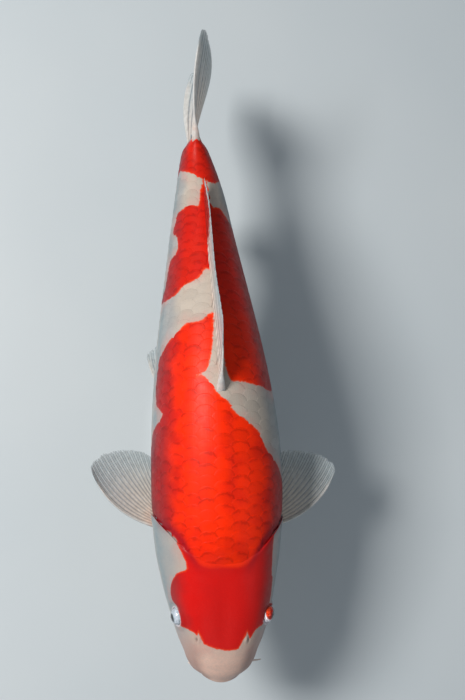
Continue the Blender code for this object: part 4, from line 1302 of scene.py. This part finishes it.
for side, hand in ((1, "left"), (-1, "right")):
    x, s, z = EYE_PLACES[side]
    centre = on_fish(side * x, s, z)
    gaze = turned_to(side, EYE_GAZES[side])
    lids = turned_to(side, LID_AXES[side])

    # The ball: rings from the middle of the pupil to the back, closed by a fan at each end.
    angles = np.linspace(0.5, 176, EYE_RINGS)
    radii = BALL_RADIUS - 0.25 * (1 - smooth_step(PUPIL_ANGLE - 4, PUPIL_ANGLE + 14, angles))
    points = dome(angles, radii, centre, gaze)
    points = np.concatenate([points.reshape(-1, 3), [points[0].mean(0)], [points[-1].mean(0)]])
    front, last = EYE_RINGS * EYE_TURNS, (EYE_RINGS - 1) * EYE_TURNS
    faces = grid_faces(EYE_RINGS, EYE_TURNS, wrap=True)[:, ::-1].tolist()
    faces += [(front, (k + 1) % EYE_TURNS, k) for k in range(EYE_TURNS)]
    faces += [(front + 1, last + k, last + (k + 1) % EYE_TURNS) for k in range(EYE_TURNS)]
    ball = mesh_piece(f"eye_ball_{hand}", points, faces, eye_finish)
    over = (points - centre) / MM
    outward = over / np.linalg.norm(over, axis=1, keepdims=True)
    patch = PATCH_RADIUS - np.linalg.norm(over - np.array(PATCH_PLACE), axis=1)
    patch = patch if side > 0 else 0 * patch - 9
    give(ball, polar=angles_from(outward, gaze), rim=angles_from(outward, lids), patch=patch)
    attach(ball, "root")
    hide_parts(f"eye_{hand}")

    # The cornea: a thin shell that sinks a little towards its edge.
    angles = np.linspace(0.5, CORNEA_ANGLE, CORNEA_RINGS)
    sink = smooth_step(CORNEA_ANGLE - 14, CORNEA_ANGLE, angles)
    outer = dome(angles, CORNEA_RADIUS - 0.14 * sink, centre, lids)
    inner = dome(angles[::-1], (CORNEA_RADIUS - CORNEA_THICK - 0.10 * sink)[::-1], centre, lids)
    shell = np.concatenate([outer, inner])
    faces = grid_faces(len(shell), EYE_TURNS, wrap=True)
    cornea = mesh_piece(f"cornea_{hand}", shell.reshape(-1, 3), faces[:, ::-1], cornea_finish)
    cornea.visible_shadow = False
    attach(cornea, "root")


# --- The barbels -----------------------------------------------------------------------------
# Four soft feelers, thick at the root and drooping to a blunt tip: a short pair on the upper
# lip and a longer pair at the corners of the mouth.

LIP_ROOT, CORNER_ROOT = (13.0, 26.0, -17.0), (17.0, 27.0, -25.5)
BARBELS = {
    "lip_left": (LIP_ROOT, (0.20, 0.66, -0.72), 9.0),
    "lip_right": (LIP_ROOT, (0.20, 0.66, -0.72), 9.0),
    "corner_left": (CORNER_ROOT, (-0.10, 0.89, -0.45), 18.0),
    "corner_right": (CORNER_ROOT, (0.66, 0.48, -0.58), 17.0),
}
BARBEL_RADIUS = 1.15
BARBEL_RINGS, BARBEL_SIDES = 40, 24
BARBEL_SINK = 3.0  # how far a barbel starts inside the lip
BARBEL_COLOURS = (0.60, 0.44, 0.36, 1), (0.70, 0.62, 0.56, 1)  # at the root and at the tip
BARBEL_MOTTLE = (0.50, 0.30, 0.26, 1)

barbel_finish, tree, shader = new_material(
    "barbel_skin", Coat_Weight=0.25, Coat_Roughness=0.2, Roughness=0.38
)
along = read(tree, "reach")
colour = blend(tree, ramp(tree, along, 0.0, 1.0), *BARBEL_COLOURS)
mottle = ramp(tree, noise(tree, 700.0, 2.0), 0.4, 0.7, 0.0, 0.4)
colour = blend(tree, mottle, colour, BARBEL_MOTTLE)
wrinkles = math_node(tree, "SINE", math_node(tree, "MULTIPLY", along, 150.0))
feed(tree, shader, Base_Color=colour, Normal=fine_relief(tree, wrinkles, 0.2, 0.0001))


def barbel_tube(side, root, direction, length, t):
    """The rings of a barbel that leaves its root in a direction and droops a little."""
    reach = mix(-BARBEL_SINK, length, t)
    s = root[0] + reach * direction[0] + 2 * t * t
    x = side * (root[1] + reach * direction[1])
    z = root[2] + reach * direction[2] - 1.5 * t * t
    line = on_fish(x, s, z)
    heading = np.gradient(line, axis=0)
    heading /= np.linalg.norm(heading, axis=1, keepdims=True)
    sideways = np.cross(heading, [0, 0, 1.0])
    sideways /= np.linalg.norm(sideways, axis=1, keepdims=True)
    upward = np.cross(sideways, heading)
    blunt_tip = np.sqrt(np.clip(1 - ((t - 0.93) / 0.07).clip(0, 1) ** 2, 0.02, 1))
    radius = BARBEL_RADIUS * mix(1.25, 0.52, t**0.7) * blunt_tip
    swing = np.linspace(0, 2 * math.pi, BARBEL_SIDES, endpoint=False)[None, :, None]
    ring_points = np.cos(swing) * sideways[:, None] + np.sin(swing) * upward[:, None]
    return line[:, None] + (radius * MM)[:, None, None] * ring_points


for name, (root, direction, length) in BARBELS.items():
    side = 1 if name.endswith("left") else -1
    t = np.linspace(0, 1, BARBEL_RINGS)
    tube = barbel_tube(side, root, direction, length, t)
    faces = grid_faces(BARBEL_RINGS, BARBEL_SIDES, wrap=True)
    barbel = mesh_piece(f"barbel_{name}_skin", tube.reshape(-1, 3), faces, barbel_finish)
    give(barbel, reach=np.repeat(t, BARBEL_SIDES))
    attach(barbel, "root")
    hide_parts(f"barbel_{name}")


# --- The stand -------------------------------------------------------------------------------
# An oval plate of satin aluminium with two turned rods up to the belly, each screwed in through
# a small round foot.

BASE_LENGTH, BASE_WIDTH, BASE_THICK = 270.0, 104.0, 12.0
BASE_EDGE = 2.0  # the radius of its rounded rim
ROD_RADIUS = 4.5
ROD_INTO_BELLY = 1.0
ROD_PLACES = {"front": -72.0, "rear": 84.0}
FOOT_RADIUS, FOOT_HEIGHT = 8.5, 5.0
TURNED_SIDES = 96
METAL_GREYS = (0.52, 0.53, 0.55, 1), (0.62, 0.63, 0.64, 1)

metal, tree, shader = new_material("satin_aluminium", Metallic=1.0)
where = node(tree, "ShaderNodeTexCoord").outputs["Object"]
stretched = node(tree, "ShaderNodeMapping", {"Vector": where, "Scale": (9.0, 0.6, 1.0)}).outputs[0]
brushed = noise(tree, 260.0, 3.0, stretched)
streaks = ramp(tree, brushed, 0.3, 0.7)
feed(
    tree, shader, Base_Color=blend(tree, streaks, *METAL_GREYS),
    Roughness=ramp(tree, brushed, 0.3, 0.7, 0.26, 0.40),
    Normal=fine_relief(tree, brushed, 0.08, 0.0002),
)


def turned(name, outline, centre, stretch=(1.0, 1.0)):
    """A closed turned piece from an outline of (radius, height), in millimetres."""
    swing = np.linspace(0, 2 * math.pi, TURNED_SIDES, endpoint=False)[None, :]
    radius = np.array([r for r, _ in outline])[:, None]
    height = np.array([h for _, h in outline])[:, None]
    x = centre[0] + stretch[0] * radius * np.cos(swing)
    y = centre[1] + stretch[1] * radius * np.sin(swing)
    points = np.stack([x, y, height + 0 * x], -1) * MM
    faces = grid_faces(len(outline), TURNED_SIDES, wrap=True)
    return mesh_piece(name, points.reshape(-1, 3), faces, metal)


def rounded(radius, low, high, edge, steps=5):
    """The outline of a disc with rounded edges, from the middle below to the middle on top."""
    bend = np.linspace(0, math.pi / 2, steps)
    under = [(radius - edge + edge * math.sin(t), low + edge - edge * math.cos(t)) for t in bend]
    over = [(radius - edge + edge * math.cos(t), high - edge + edge * math.sin(t)) for t in bend]
    return [(0.01, low), *under, *over, (0.01, high)]


plate_outline = rounded(BASE_WIDTH / 2, 0.0, BASE_THICK, BASE_EDGE)
base = turned("stand_plate", plate_outline, (0, 0), (1, BASE_LENGTH / BASE_WIDTH))
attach(base, "root")
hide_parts("stand_base")
for end, y in ROD_PLACES.items():
    s = y - LIPS_Y
    x = float(profile(SPINE_X, s))
    top = AXIS_Z + float(profile(BELLY, s)) + ROD_INTO_BELLY
    outline = [(0.01, BASE_THICK), (FOOT_RADIUS, BASE_THICK), (FOOT_RADIUS, BASE_THICK + 2.5)]
    outline += [(FOOT_RADIUS - 1, BASE_THICK + 3.5), (ROD_RADIUS + 1.2, BASE_THICK + FOOT_HEIGHT)]
    outline += [(ROD_RADIUS, BASE_THICK + FOOT_HEIGHT + 1), (ROD_RADIUS, top), (0.01, top)]
    rod = turned(f"stand_pillar_{end}", outline, (x, y))
    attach(rod, "root")
    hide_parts(f"stand_rod_{end}")
